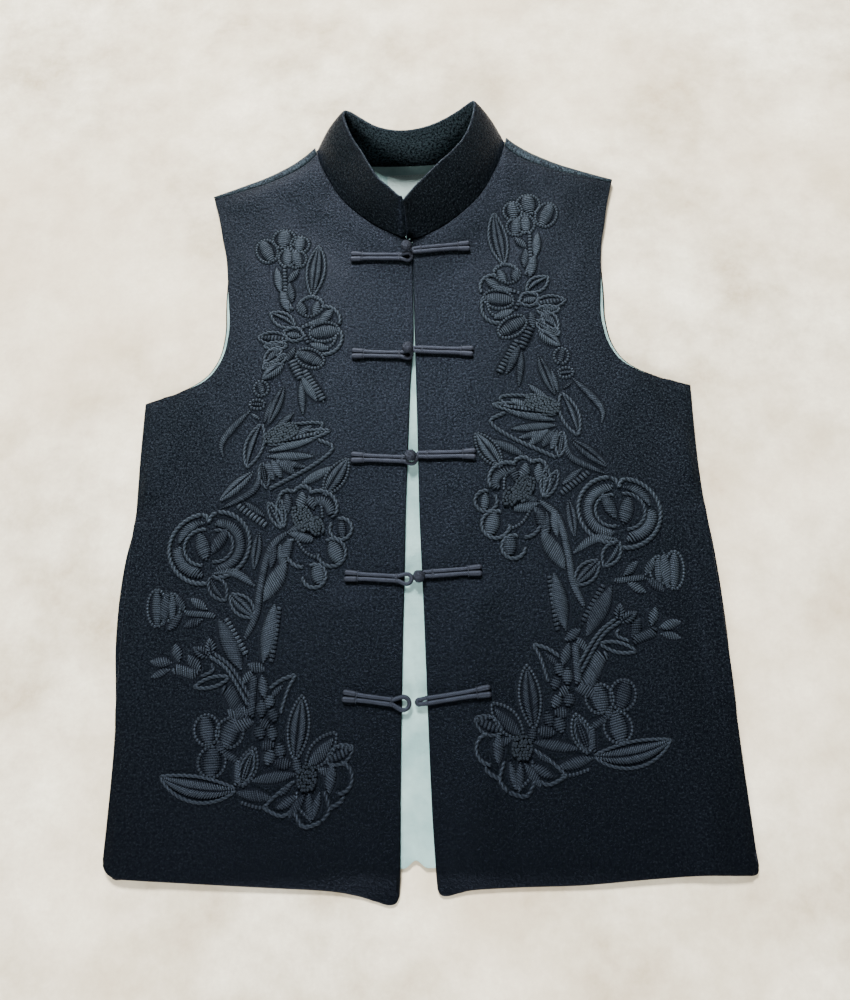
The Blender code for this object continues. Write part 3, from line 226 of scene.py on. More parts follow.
ARCS = (  # stitch, across, up, radius, first angle, sweep, width
    ("rope", 85, 77, 16, 80, 115, 3.4), ("rope", 83, 59, 16, 140, 140, 3.4),
    ("bead", 84, 60, 11, 120, 150, 2.8), ("rope", 97, 93, 12, 10, 160, 3.0),
    ("rope", 66, -330, 12, 100, 170, 3.4),
    # rose: ropes round and inside its halves, with pads between them
    ("rope", 183, -140, 31, 82, -180, 3.8), ("rope", 174, -137, 29.5, 90, 180, 3.8),
    ("rope", 185, -139, 16, 100, -195, 3.2), ("rope", 173, -138, 14, 75, 210, 3.0),
    ("leaf", 185, -139, 21.5, 92, -84, 10), ("stem", 185, -140, 22, 4, -98, 11),
    ("stem", 173, -138, 20.5, 82, 190, 10),
    # peony: scallops, the loops of its lower petals and a bent pad
    ("rope", 113, -97, 7.5, -20, 155, 3.6), ("rope", 100, -94, 8, 10, 170, 3.6),
    ("rope", 86, -107, 16.5, 65, 140, 3.6), ("rope", 66, -126, 9.5, 70, 330, 3.4),
    ("rope", 73.5, -147, 12, 60, 300, 3.4), ("rope", 88, -167, 10, 60, 300, 3.4),
    ("rope", 98, -145, 14, 55, -150, 3.4), ("stem", 86, -111, 11.5, 70, 135, 10))

LINES = (  # stitch, width, then places as across, up
    ("rope", 3.8, (188, -109), (183, -112), (181, -118)),
    ("rope", 3.8, (174, -108), (179, -111), (181, -118)),
    ("bead", 2.8, (105, -133), (96, -146), (84, -152)), ("bead", 2.8, (92, -97), (84, -103), (82, -117)),
    ("rope", 3.0, (123, 109), (119, 100), (114, 91)),
    ("leaf", 8.0, (149, -10), (164, -27), (174, -43), (172, -57)),
    ("rope", 3.4, (88, -42), (74, -51), (92, -67), (130, -88)),
    ("rope", 3.0, (133, -42), (110, -27), (84, -27), (92, -39)),
    ("leaf", 7.5, (138, -64), (141, -86), (156, -97), (172, -105)),
    ("leaf", 9.0, (176, -163), (157, -162), (137, -175)),
    ("stem", 7.5, (112, -127), (127, -143), (134, -177), (136, -198), (145, -220)),
    ("rope", 3.0, (180, -249), (170, -244), (172, -238)),
    ("rope", 3.2, (174, -232), (158, -244), (139, -273)),
    ("rope", 3.2, (170, -230), (154, -243), (135, -271)),
    ("rope", 3.2, (123, -260), (113, -253), (101, -249)),
    ("rope", 3.2, (101, -249), (107, -260), (113, -280)), ("bead", 3.2, (67, -306), (54, -308)),
    ("rope", 3.4, (60, -343), (64, -348), (73, -353)),
    ("rope", 3.0, (99, -331), (112, -340), (124, -351)),
    ("rope", 3.0, (124, -351), (110, -357), (100, -353)),
    ("rope", 3.4, (100, -353), (92, -365), (78, -362)), ("rope", 3.4, (78, -362), (72, -353), (76, -339)),
    ("bead", 2.8, (98, -339), (96, -351), (86, -361)),
    ("bead", 2.8, (119, -351), (130, -350), (143, -346)), ("bead", 2.6, (118, -103), (116, -122)),
    ("bead", 2.6, (96, -104), (100, -116), (106, -124)))


# ---- curves and planes ---------------------------------------------------------------------------
def curve(points, step):
    """Places about that far apart along a smooth curve through the points."""
    p = np.asarray(points, float)
    ends = np.vstack([2 * p[:1] - p[1:2], p, 2 * p[-1:] - p[-2:-1]])
    t = np.linspace(0, 1, 12, endpoint=False)[:, None]
    fine = []
    for a, b, c, d in zip(ends, ends[1:], ends[2:], ends[3:]):
        fine.append(0.5 * (2 * b + (c - a) * t + (2 * a - 5 * b + 4 * c - d) * t * t
                           + (3 * b - 3 * c + d - a) * t ** 3))
    return spread(np.vstack(fine + [p[-1:]]), step)


def spread(line, step):
    """Places about that far apart along a line."""
    run = run_along(line)
    at = np.linspace(0, run[-1], max(2, int(round(run[-1] / step))) + 1)
    return np.stack([np.interp(at, run, line[:, k]) for k in range(line.shape[1])], axis=1)


def run_along(line):
    """How far along a line each of its places is."""
    return np.concatenate([[0], np.cumsum(np.linalg.norm(np.diff(line, axis=0), axis=1))])


def sideways(line):
    """Unit vectors that point left from a line's places."""
    along = np.gradient(line, axis=0)
    along /= np.linalg.norm(along, axis=1)[:, None] + 1e-9
    return np.stack([-along[:, 1], along[:, 0]], axis=1)


def ease(share):
    share = np.clip(share, 0, 1)
    return share * share * (3 - 2 * share)


def bowed(across, up, heading, length, bend=0, count=6):
    """The middle of a shape from its foot, turning by bend degrees from end to end."""
    share = (np.arange(count) + 0.5) / count
    turn = np.radians(heading + bend * share)
    steps = np.stack([np.cos(turn), np.sin(turn)], axis=1) * length / count
    return np.vstack([(across, up), np.array((across, up)) + np.cumsum(steps, axis=0)])


def round_arc(across, up, radius, first, sweep):
    turn = np.radians(np.linspace(first, first + sweep, max(4, int(abs(sweep) / 15))))
    return np.array((across, up)) + radius * np.stack([np.cos(turn), np.sin(turn)], axis=1)


def near(places, line):
    """How far each place is from a line."""
    best = np.full(len(places), 1e9)
    for a, b in zip(line, line[1:]):
        along = b - a
        share = np.clip(((places - a) @ along) / max(along @ along, 1e-9), 0, 1)
        best = np.minimum(best, np.linalg.norm(places - a - share[:, None] * along, axis=1))
    return best


def inside(places, outline):
    """Which places an outline goes round."""
    within = np.zeros(len(places), bool)
    for a, b in zip(outline, np.roll(outline, -1, axis=0)):
        if a[1] != b[1]:
            crosses = (a[1] > places[:, 1]) != (b[1] > places[:, 1])
            meets = a[0] + (b[0] - a[0]) * (places[:, 1] - a[1]) / (b[1] - a[1])
            within ^= crosses & (places[:, 0] < meets)
    return within


def staggered(outline, step):
    """Rows of places inside an outline, every second row moved by half a step."""
    low, high = outline.min(axis=0), outline.max(axis=0)
    rows = []
    for number, up in enumerate(np.arange(low[1] + step / 2, high[1], step * 0.87)):
        across = np.arange(low[0] + step * (0.25 + 0.5 * (number % 2)), high[0], step)
        rows.append(np.stack([across, np.full(len(across), up)], axis=1))
    places = np.vstack(rows)
    return places[inside(places, outline)]


def inset(outline, width):
    """The outline moved inwards."""
    ahead = np.roll(outline, -1, axis=0) - outline
    behind = np.roll(ahead, 1, axis=0)
    along = sum(way / np.linalg.norm(way, axis=1)[:, None] for way in (ahead, behind))
    along /= np.linalg.norm(along, axis=1)[:, None]
    return outline + np.stack([-along[:, 1], along[:, 0]], axis=1) * width


def facets(places, count, outline):
    """Triangles between places, the first of which are the outline's corners in order."""
    sides = [(i, (i + 1) % count) for i in range(count)]
    verts, _, faces, sources = delaunay_2d_cdt([Vector(p) for p in places], sides, [], 0, 1e-5, True)[:4]
    verts = np.array([tuple(v) for v in verts])
    faces = np.array(faces)
    faces = faces[inside(verts[faces].mean(axis=1), outline)]
    return verts, faces, sources


def grid_faces(index):
    """Quads between neighbours of a grid of point numbers."""
    here, after = index[..., :-1, :], index[..., 1:, :]
    return np.stack([here[..., :-1], here[..., 1:], after[..., 1:], after[..., :-1]], axis=-1)


def bar_faces(count, size):
    """Faces of a bar made of count rings with size places each, closed at both ends."""
    index = np.arange(count * size).reshape(count, size)
    after = np.roll(index, -1, axis=1)
    faces = np.stack([index[:-1], index[1:], after[1:], after[:-1]], axis=-1).reshape(-1, 4).tolist()
    return faces + [index[0].tolist(), index[-1][::-1].tolist()]


# ---- making pieces -------------------------------------------------------------------------------
def show(name, data):
    """A new object in the scene."""
    made = bpy.data.objects.new(name, data)
    bpy.context.scene.collection.objects.link(made)
    return made


def make(name, points, faces, look, uv, stands_for, tone=None, sharp=60):
    """A piece that rides on the garment and takes the place of the nodes it stands for."""
    mesh = bpy.data.meshes.new(name)
    places = (np.asarray(points, float) - BOX_MIDDLE) * MM
    mesh.from_pydata(places.tolist(), [], [list(map(int, f)) for f in faces])
    index = np.zeros(len(mesh.loops), int)
    mesh.loops.foreach_get("vertex_index", index)
    layer = mesh.uv_layers.new(name="UVMap")
    layer.data.foreach_set("uv", np.asarray(uv, float)[index].ravel())
    if tone is not None:
        mesh.attributes.new("tone", "FLOAT", "POINT").data.foreach_set("value", np.asarray(tone, float))
    mesh.materials.append(look)
    mesh.shade_smooth()
    if sharp:
        mesh.set_sharp_from_angle(angle=math.radians(sharp))
    made = show(name, mesh)
    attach(made, "root")
    if stands_for:
        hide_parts(*stands_for)
    return made


def level_at(height):
    """The same height at every place."""
    return lambda places: np.full(len(places), height)


def panel(name, outline, face, underside, step, look, stands_for, roll=EDGE_ROLL, drop=0.9):
    """A closed sheet: face(places) over underside(places), with a rounded edge."""
    count = len(outline)
    rings = [inset(outline, roll * share) for share in (0.3, 0.65, 1.0)]
    grid = staggered(outline, step)
    loop = np.vstack([outline, outline[:1]])
    grid = grid[near(grid, loop) > roll + step * 0.45]
    places = np.vstack([outline] + rings + [grid])
    verts, faces, sources = facets(places, count, outline)
    depth = np.clip(near(verts, loop) / roll, 0, 1)
    fall = drop * (1 - np.sqrt(1 - (1 - depth) ** 2))
    outer = np.column_stack([verts, face(verts) - fall])
    low_grid = grid[::9]
    base, base_faces, base_sources = facets(np.vstack([outline, low_grid]), count, outline)
    inner = np.column_stack([base, underside(base)])
    rim = {s: i for i, found in enumerate(sources) for s in found if s < count}
    low_rim = {s: i for i, found in enumerate(base_sources) for s in found if s < count}
    first = len(outer)
    all_faces = [list(f) for f in faces] + [list(f[::-1] + first) for f in base_faces]
    for i in range(count):
        j = (i + 1) % count
        all_faces.append([rim[j], rim[i], first + low_rim[i], first + low_rim[j]])
    points = np.vstack([outer, inner])
    made = make(name, points, all_faces, look, points[:, :2] * MM, stands_for)
    return made


# ---- the fronts' shape ---------------------------------------------------------------------------
def mirrored(line, side):
    """A line of one front's tables as garment places."""
    return np.asarray(line, float) * (side, 1.0)


def front_outline(side, step=2.0):
    """A front's edge, anticlockwise."""
    line = np.vstack([curve(HEM[side], step), curve(SIDE[side][::-1], step),
                      curve(ARMHOLE[::-1], step)[1:], curve([row[:2] for row in SHOULDER[::-1]], step)[1:],
                      curve(FRONT_NECK[::-1], step)[1:], curve(CENTRE[side], step)])
    line = mirrored(line, side)
    return line if side > 0 else line[::-1]


def back_hem_at(across):
    """How far up the back's hem is, with its small notch."""
    at, half, height = HEM_NOTCH
    rows = np.array(BACK_HEM)
    return np.interp(np.abs(across), rows[:, 0], rows[:, 1]) + height * ease(1 - np.abs(across - at) / half)


def front_underside(side, places):
    """Height of a front's lower face."""
    places = np.asarray(places, float)[:, :2]
    shoulder = np.array(SHOULDER)
    seam = mirrored(shoulder[:, :2], side)
    neck = mirrored(((0.0, 160.5),) + FRONT_NECK, side)
    edge = mirrored(ARMHOLE[-2:-1] + SIDE[side], side)
    seam_top = np.interp(np.abs(places[:, 0]), shoulder[:, 0], shoulder[:, 2]) - FRONT_WALL
    to_seam = near(places, seam)
    lift = (seam_top - FRONT_LEVEL) * (1 - ease(to_seam / SEAM_REACH)) ** 1.2
    neck_lift = NECK_LIFT * (1 - ease(near(places, neck) / NECK_REACH))
    lift = np.maximum(lift, neck_lift) + 0.25 * np.minimum(lift, neck_lift) * ease(to_seam / 40)
    for x1, y1, x2, y2, half, tall in FOLDS[side]:
        lift += tall * (1 - ease(near(places, mirrored(((x1, y1), (x2, y2)), side)) / half))
    to_edge = near(places, edge)
    level = EDGE_LEVEL + (FRONT_LEVEL + lift - EDGE_LEVEL) * ease(to_edge / EDGE_RAMP)
    pocket = ease((POCKET_TOP + 24 - places[:, 1]) / 18) * ease((places[:, 1] - POCKET_BOTTOM + 24) / 18)
    pocket *= 1 - ease((to_edge - POCKET_RAMP) / 14)
    level = np.maximum(level, EDGE_LEVEL + (FACING_CLEAR - EDGE_LEVEL) * pocket)
    past_hem = back_hem_at(places[:, 0]) - places[:, 1]
    return GAP + (level - GAP) * (1 - ease((past_hem - 1.0) / HEM_REACH))


def front_face(side, places):
    """Height of a front's face, with its soft creases."""
    places = np.asarray(places, float)[:, :2]
    level = front_underside(side, places) + FRONT_WALL
    for x1, y1, x2, y2, half, tall in CREASES[side]:
        a, b = mirrored(((x1, y1), (x2, y2)), side)
        along = b - a
        share = ((places - a) @ along) / (along @ along)
        fade = ease(share / 0.3 + 0.4) * ease((1.4 - share) / 0.7)
        away = near(places, np.array([a - along * 0.3, b + along * 0.3]))
        level = level + tall * fade * np.exp(-(away / half) ** 2)
    across, up = places.T
    ripple = np.sin(across / 17.0 + up / 41.0) * np.sin(up / 23.0 - across / 60.0)
    return level + 0.18 * ripple


class Ground:
    """A front's face height, read from a grid."""

    def __init__(self, side):
        self.side, self.step = side, 2.0
        self.first = np.array((0.0, -424.0))
        across = np.arange(0, 256, self.step)
        up = np.arange(-424, 268, self.step)
        grid = np.stack(np.meshgrid(across, up), axis=-1).reshape(-1, 2)
        self.heights = front_face(side, grid * (side, 1)).reshape(len(up), len(across))

    def __call__(self, places):
        at = (np.asarray(places)[:, :2] * (self.side, 1) - self.first) / self.step
        rows, columns = self.heights.shape
        x = np.clip(at[:, 0], 0, columns - 1.001)
        y = np.clip(at[:, 1], 0, rows - 1.001)
        i, j = x.astype(int), y.astype(int)
        fx, fy = x - i, y - j
        h = self.heights
        return ((h[j, i] * (1 - fx) + h[j, i + 1] * fx) * (1 - fy)
                + (h[j + 1, i] * (1 - fx) + h[j + 1, i + 1] * fx) * fy)


# ---- stitches ------------------------------------------------------------------------------------
FORMS = {  # half width of a form, as a share of its widest, along its length
    "leaf": lambda share: np.sin(math.pi * share) ** 0.75,
    "stem": lambda share: np.clip(1 - np.abs(2 * share - 1) ** 9, 0, 1) ** 0.5,
    "ball": lambda share: np.sqrt(np.clip(1 - (2 * share - 1) ** 2, 0, 1))}
BAR, THREAD = 1.45, 0.86                               # radius of a thick bar and of a thread
KNOT, KNOT_ROWS, KNOT_SPACING = 1.45, 2.3, 2.5         # radius of a French knot, and what lies between
SHADE = 0.7            # how much painted shade darkens a thread's sides, down between threads
FLAT = 0.5             # height of a pad's thread as a share of its half width
SHADOW_REACH = 1.0              # how far the painted shadow round a form reaches to both sides of its rim
TWIST = 4.4            # run of one strand from side to side of a rope
PITCH = {"rung": 3.6, "bars": 3.2}                     # between threads, 1.9 in other stitches
LEAN = {"ball": 0.15, "petal": 0.15, "stem": 0.45}     # of threads across a form, 0.6 in other stitches
FORM_OF = {"stem": "stem", "rung": "stem", "ball": "ball", "petal": "ball", "knots": "ball"}
EDGING = {"loop": ("rope", 3.0), "feather": ("rope", 2.8), "half": ("rope", 3.0), "bars": ("rope", 2.8),
          "frill": ("bead", 2.8), "petal": ("bead", 2.8)}


class Sewing:
    """Gathers the threads that lie on one front into one mesh."""

    def __init__(self, side, ground, seed):
        self.side, self.ground = side, ground
        self.points, self.faces, self.uv, self.tone = [], [], [], []
        self.count = 0
        self.chance = np.random.default_rng(seed)

    def place(self, line):
        """The table's places as garment places."""
        line = np.asarray(line, float)
        if self.side > 0:
            at, *moves = np.array(LEFT_SHIFT).T
            line = line + np.stack([np.interp(line[..., 1], at, move) for move in moves], axis=-1)
        return line * (self.side, 1)

    def level(self, places):
        return self.ground(places.reshape(-1, 2)).reshape(places.shape[:-1])

    def add(self, grids, uv, tone):
        """Grids of points, as quads: the last two axes but one run along and across each grid."""
        number, rows, columns = grids.shape[:3]
        index = np.arange(number * rows * columns).reshape(number, rows, columns) + self.count
        self.points.append(grids.reshape(-1, 3))
        self.faces.append(grid_faces(index).reshape(-1, 4))
        self.uv.append(np.broadcast_to(uv, (number, rows, columns, 2)).reshape(-1, 2))
        self.tone.append(np.broadcast_to(tone, (number, rows, columns)).ravel())
        self.count += number * rows * columns

    def strands(self, start, end, tall, radius, tone, dome, stations=7):
        """Threads side by side, each from a start to an end over padding."""
        start, end = self.place(start), self.place(end)
        keep = np.linalg.norm(end - start, axis=1) > 0.9
        start, end, tall = start[keep], end[keep], np.broadcast_to(tall, keep.shape)[keep]
        if not len(start):
            return
        share = np.linspace(0, 1, stations)
        length = np.linalg.norm(end - start, axis=1)
        along = (end - start) / length[:, None]
        out = np.stack([-along[:, 1], along[:, 0]], axis=1)
        middle = start[:, None] + (end - start)[:, None] * share[None, :, None]
        loose = self.chance.normal(0, 0.09, (len(start), 1))
        far = np.abs(2 * share - 1)
        rise = self.level(middle) + tall[:, None] * dome(share) + loose - 0.3 * (far > 0.99)
        thick = radius * np.clip(1.25 - far ** 6 * 0.6, 0.4, 1)
        turn = np.radians((-25, 30, 90, 150, 205))
        place = middle[:, :, None] + out[:, None, None] * (thick[None, :, None] * np.cos(turn))[..., None]
        height = rise[:, :, None] + thick[None, :, None] * FLAT * np.sin(turn)
        uv = np.stack(np.broadcast_arrays(share[None, :, None] * length[:, None, None] / 1.4 + turn * 0.16,
                                          turn * radius), axis=-1)
        tones = (tone + self.chance.normal(0, 0.07, len(start)))[:, None, None]
        # painted shade: each thread darker on its sides, down between threads, and darker towards its ends
        tones = tones + SHADE * FLAT * (np.sin(turn) - 0.8)
        ends = far[None, :, None] ** 4
        self.add(np.concatenate([place, height[..., None]], axis=-1), uv, tones - ends)

    def shadow_band(self, rim, reach):
        """A painted shadow: a dark band on both sides of a form's rim, where its threads go down into the
        cloth.
        """
        rim = self.place(rim)
        out = sideways(rim)
        grid = np.stack([rim - out * reach, rim + out * reach], axis=1)
        height = self.level(grid)[..., None] + 0.12
        grid = np.concatenate([grid, height], axis=-1)[None]
        if self.side < 0:
            grid = grid[:, :, ::-1]
        self.add(grid, np.zeros(2), -1.0)

    def cord(self, line, width, kind, tone):
        """A rope of two twisted strands, or a line of beads."""
        line = spread(self.place(line), 0.55 if kind == "bead" else 0.75)
        run = run_along(line)
        out = sideways(line)
        turn = np.radians(np.linspace(-30, 210, 7))
        radius = width / 2
        if kind == "bead":
            wide = radius * (0.5 + 0.6 * np.abs(np.sin(math.pi * run / (width * 1.05))))[:, None] + 0 * turn
        else:
            wide = radius * (0.6 + 0.5 * np.abs(np.cos(turn[None] - math.pi * run[:, None] / TWIST)))
        ends = np.clip(np.minimum(run, run[-1] - run) / radius, 0.08, 1)
        wide = wide * np.sqrt(1 - (1 - ends) ** 2)[:, None]
        place = line[:, None] + out[:, None] * (wide * np.cos(turn))[..., None]
        height = self.level(line)[:, None] + wide * (0.95 * np.sin(turn) + 0.35)
        uv = np.stack(np.broadcast_arrays(run[:, None] + turn * 0.4, turn * radius), axis=-1)
        # painted shade: darker in the grooves between a rope's strands and between beads
        groove_shade = SHADE * 2.2 * (wide / radius - 0.85)
        self.add(np.concatenate([place, height[..., None]], axis=-1)[None], uv, tone + groove_shade)

    def knot(self, place, radius, tone):
        """A French knot: a small dome with a dimple."""
        centre = self.place(place)
        turn = np.linspace(0, 2 * math.pi, 9)
        slope = np.radians((90, 76, 50, 12, -60))
        reach = radius * np.cos(slope)
        flat = centre + np.stack([np.outer(reach, np.cos(turn)), np.outer(reach, np.sin(turn))], axis=-1)
        height = self.level(centre[None])[0] + radius * (1.5 + np.sin(slope))
        height = np.repeat(height[:, None], len(turn), axis=1)
        height[0] -= radius * 0.35
        uv = np.stack(np.broadcast_arrays(turn * 1.1, slope[:, None]), axis=-1)
        self.add(np.concatenate([flat, height[..., None]], axis=-1)[None, :, ::-1], uv, tone)

    def finish(self, name, look):
        return make(name, np.vstack(self.points), np.vstack(self.faces), look, np.vstack(self.uv), (),
                    np.concatenate(self.tone), sharp=0)


def satin_dome(share):
    """Height of a thread over padding, from rim to rim."""
    return (1 - np.abs(2 * share - 1) ** 2.2) ** 0.65


def half_dome(share):
    """Height of a thread that starts at a form's vein."""
    return np.sin(math.pi * (0.16 + 0.84 * share)) ** 0.6


class Shape:
    """A form along a line: its middle, sides and half widths at any distance along it."""

    def __init__(self, places, width, form):
        self.line = curve(places, 0.6)
        self.run = run_along(self.line)
        self.length = self.run[-1]
        self.out = sideways(self.line)
        self.half = FORMS[form](self.run / self.length) * width / 2
        self.widest = width / 2

    def at(self, run, side):
        """Places beside the middle line, side half widths out."""
        run = np.clip(run, 0, self.length)
        middle, out = (np.stack([np.interp(run, self.run, rows[:, k]) for k in (0, 1)], axis=1)
                       for rows in (self.line, self.out))
        return middle + out * (side * self.half_at(run))[:, None]

    def half_at(self, run):
        return np.interp(run, self.run, self.half)

    def rim(self):
        count = max(12, int(self.length / 0.9))
        run = np.linspace(0, self.length, count)
        return np.vstack([self.at(run, 1), self.at(run[::-1], -1)[1:]])


def fill_pad(sewing, stitch, shape, tone):
    """Threads laid side by side over padding."""
    pitch = PITCH.get(stitch, 1.9)
    run = np.arange(pitch * 0.45, shape.length, pitch)
    half = shape.half_at(run)
    tall = min(0.8 + 0.26 * shape.widest, 2.6) * (np.maximum(half, 0.1) / shape.widest) ** 0.6
    if stitch in ("rung", "bars"):
        sewing.strands(shape.at(run, 1), shape.at(run + 0.8, -1), tall * 0.8, BAR, tone, satin_dome, 6)
    elif stitch in ("fish", "feather", "half"):
        for side in (1,) if stitch == "half" else (1, -1):
            end = shape.at(run + half * 0.85, side)
            sewing.strands(shape.at(run, 0), end, tall, THREAD - 0.02, tone, half_dome, 5)
    else:
        lean = half * float(sewing.chance.choice((-1, 1))) * LEAN.get(stitch, 0.6)
        sewing.strands(shape.at(run + lean, 1), shape.at(run - lean, -1), tall, THREAD, tone, satin_dome)


def fill_knots(sewing, shape, tone):
    """French knots in rows across a form."""
    for run in np.arange(1.2, shape.length - 0.6, KNOT_ROWS):
        half = float(shape.half_at(run))
        count = int(half * 2 / KNOT_SPACING)
        for k in range(count + 1):
            side = (2 * k / count - 1) * 0.9 if count else 0.0
            spot = shape.at(np.array([run + sewing.chance.normal(0, 0.3)]), side)[0]
            sewing.knot(spot + sewing.chance.normal(0, 0.25, 2), KNOT, tone + 0.25)


def sew(side, ground, look):
    """One front's embroidery: padded stitches in one piece, ropes and beads in another."""
    name = "right" if side < 0 else "left"
    satin, cords = Sewing(side, ground, 5), Sewing(side, ground, 9)
    rows = [(stitch, width, bowed(across, up, heading, length, *bend))
            for stitch, *places in SHAPES for across, up, heading, length, width, *bend in places]
    rows += [(stitch, width, round_arc(across, up, radius, first, sweep))
             for stitch, across, up, radius, first, sweep, width in ARCS]
    rows += [(stitch, width, curve(places, 0.6)) for stitch, width, *places in LINES]
    for stitch, width, middle in rows:
        tone = float(satin.chance.uniform(0.45, 0.9))
        if stitch in ("rope", "bead"):
            cords.cord(curve(middle, 0.5), width, stitch, 0.2 + 0.5 * tone)
            # a painted shadow along both sides of the rope
            cords.shadow_band(spread(middle, 0.9), SHADOW_REACH + width / 2 - 0.3)
            continue
        form = FORM_OF.get(stitch, "leaf")
        shape = Shape(middle, width, form)
        # a painted shadow round the form's rim
        satin.shadow_band(shape.rim(), SHADOW_REACH + (EDGING[stitch][1] / 2 if stitch in EDGING else 0.0))
        if stitch in EDGING:
            kind, thick = EDGING[stitch]
            cords.cord(shape.rim(), thick, kind, 0.25 + 0.45 * tone)
            shape = Shape(middle, width - thick * 1.9, form)
        if stitch == "knots":
            fill_knots(satin, shape, tone)
        elif stitch not in ("loop", "frill"):
            fill_pad(satin, stitch, shape, tone)
    satin.finish(f"embroidery_satin_{name}", look)
    cords.finish(f"embroidery_cords_{name}", look)


# ---- collar, back, lining ------------------------------------------------------------------------
def add_collar(look, painted_light_inside_look):
    """One band from end to end, with painted light on its inner face."""
    rows = [COLLAR_END_OVER] + list(zip(COLLAR_LOWER, COLLAR_TOP_LEFT)) + [COLLAR_BACK]
    for lower, top in zip(COLLAR_LOWER[::-1], COLLAR_TOP_RIGHT[::-1]):
        rows.append(((-lower[0], *lower[1:]), (-top[0], *top[1:])))
    rows.append(COLLAR_END_UNDER)
    both = curve([lower + top for lower, top in rows], 2.2)
    lower, upper = both[:, :3], both[:, 3:]
    along = np.gradient(lower + upper, axis=0)
    rise = upper - lower
    out = np.cross(along, rise)
    out /= np.linalg.norm(out, axis=1)[:, None]
    run = run_along((lower + upper) / 2)
    shares = np.linspace(0, COLLAR_TURNS, 15)
    half = COLLAR_WALL / 2
    ring, uv = [], []

    def add_row(share, to_face, run_up):
        bow = math.sin(math.pi * share)
        wave = COLLAR_SWELL * bow + 0.35 * np.sin(run / 13 + 3 * share) * bow
        ring.append(lower + rise * share + out * wave[:, None] + out * to_face)
        uv.append(np.stack([run, np.full(len(run), run_up)], axis=1))

    for share in shares:
        add_row(share, half, share * COLLAR_TALL)
    up = rise / np.linalg.norm(rise, axis=1)[:, None]
    top = lower + rise * COLLAR_TURNS + out * (COLLAR_SWELL * math.sin(math.pi * COLLAR_TURNS))
    for angle in (30, 60, 90, 120, 150):
        turn = math.radians(angle)
        ring.append(top + out * half * math.cos(turn) + up * half * math.sin(turn))
        uv.append(np.stack([run, np.full(len(run), COLLAR_TALL - 1 + angle / 60)], axis=1))
    for share in shares[::-1]:
        add_row(share, -half, 90 - share * COLLAR_TALL)
    points = np.stack(ring, axis=1)
    size = points.shape[1]
    faces = bar_faces(len(points), size)
    made = make("collar_cloth", points.reshape(-1, 3), faces, look,
                np.stack(uv, axis=1).reshape(-1, 2) * MM, ("collar",))
    # the inner face takes a paler copy of the wool with painted light
    made.data.materials.append(painted_light_inside_look)
    column = np.arange(len(made.data.polygons)) % size
    inside = ((column >= len(shares) + 1) & (column < size - 1)).astype(int)
    inside[-2:] = 0
    made.data.polygons.foreach_set("material_index", inside)
    seam = add_neck_seam(lower[2:-2], look)


def add_neck_seam(lower, look):
    """The fronts' and back's seam allowance, which shows as a dark line at the collar's foot."""
    out = sideways(lower[:, :2])
    out *= np.sign(np.sum(out * (lower[:, :2] - (0, 215)), axis=1))[:, None]
    level = lower[:, 2] - 0.5
    ring = []
    for shift, fall, least in ((-1.2, 0.0, 0.9), (SEAM_SHOW, 0.3, 0.9), (SEAM_SHOW, 1.1, 0.1),
                               (-1.2, 0.8, 0.1)):
        ring.append(np.column_stack([lower[:, :2] + out * shift, np.maximum(level - fall, least)]))
    points = np.stack(ring, axis=1)
    faces = bar_faces(*points.shape[:2])
    run = run_along(lower)
    uv = np.stack(np.broadcast_arrays(run[:, None], np.array((0, 4, 5, 9))), axis=-1).reshape(-1, 2) * MM
    return make("neck_seam_cloth", points.reshape(-1, 3), faces, look, uv, ())


def back_edge(side, step):
    """The back's side seam and its armhole, which shows a little beyond the front's."""
    seam = curve(SIDE[side][::-1], step)
    armhole = curve(ARMHOLE[::-1], step)
    share = np.linspace(0, 1, len(armhole))
    swell = ARMHOLE_SHOW * ease(share / 0.2) * ease((0.72 - share) / 0.25)
    return seam, armhole - sideways(armhole) * swell[:, None]


def fold_places(rows):
    """Each row's place on the fold, the way to it from the seam, how far that is, and the thickness."""
    for seam_x, seam_y, _, fold_x, fold_y, thick, _ in rows:
        out = np.array((fold_x - seam_x, fold_y - seam_y))
        length = np.linalg.norm(out)
        yield np.array((fold_x, fold_y)), out / length, length, thick


def strap(side):
    """The fold over a shoulder, as a grid of outer and inner points."""
    rows = curve(SHOULDER, 2.5)
    outer, inner = [], []
    for seam_x, seam_y, seam_z, fold_x, fold_y, thick, lean in rows:
        fold_y += side * lean
        out = np.array((fold_x - seam_x, fold_y - seam_y))
        length = np.linalg.norm(out)
        out /= length
        reach = min(length * 0.5, thick / 2)
        middle = np.array((fold_x, fold_y)) - out * reach
        for points, less in ((outer, 0.0), (inner, BACK_WALL)):
            line = [(*(middle - out * 5), less), (*(middle - out * 2), less)]
            for angle in np.radians(np.arange(-90, 91, 15)):
                place = middle + out * (reach - less) * math.cos(angle)
                line.append((*place, thick / 2 + (thick / 2 - less) * math.sin(angle)))
            edge = np.array((seam_x, seam_y)) + out * GAP
            line.append((*(edge + out * 0.9), seam_z - less + 0.25))
            line.append((*edge, seam_z - less - (0.5 if not less else 0.0)))
            points.append(line)
    outer, inner = np.array(outer), np.array(inner)
    outer[..., 0] *= side
    inner[..., 0] *= side
    return outer, inner


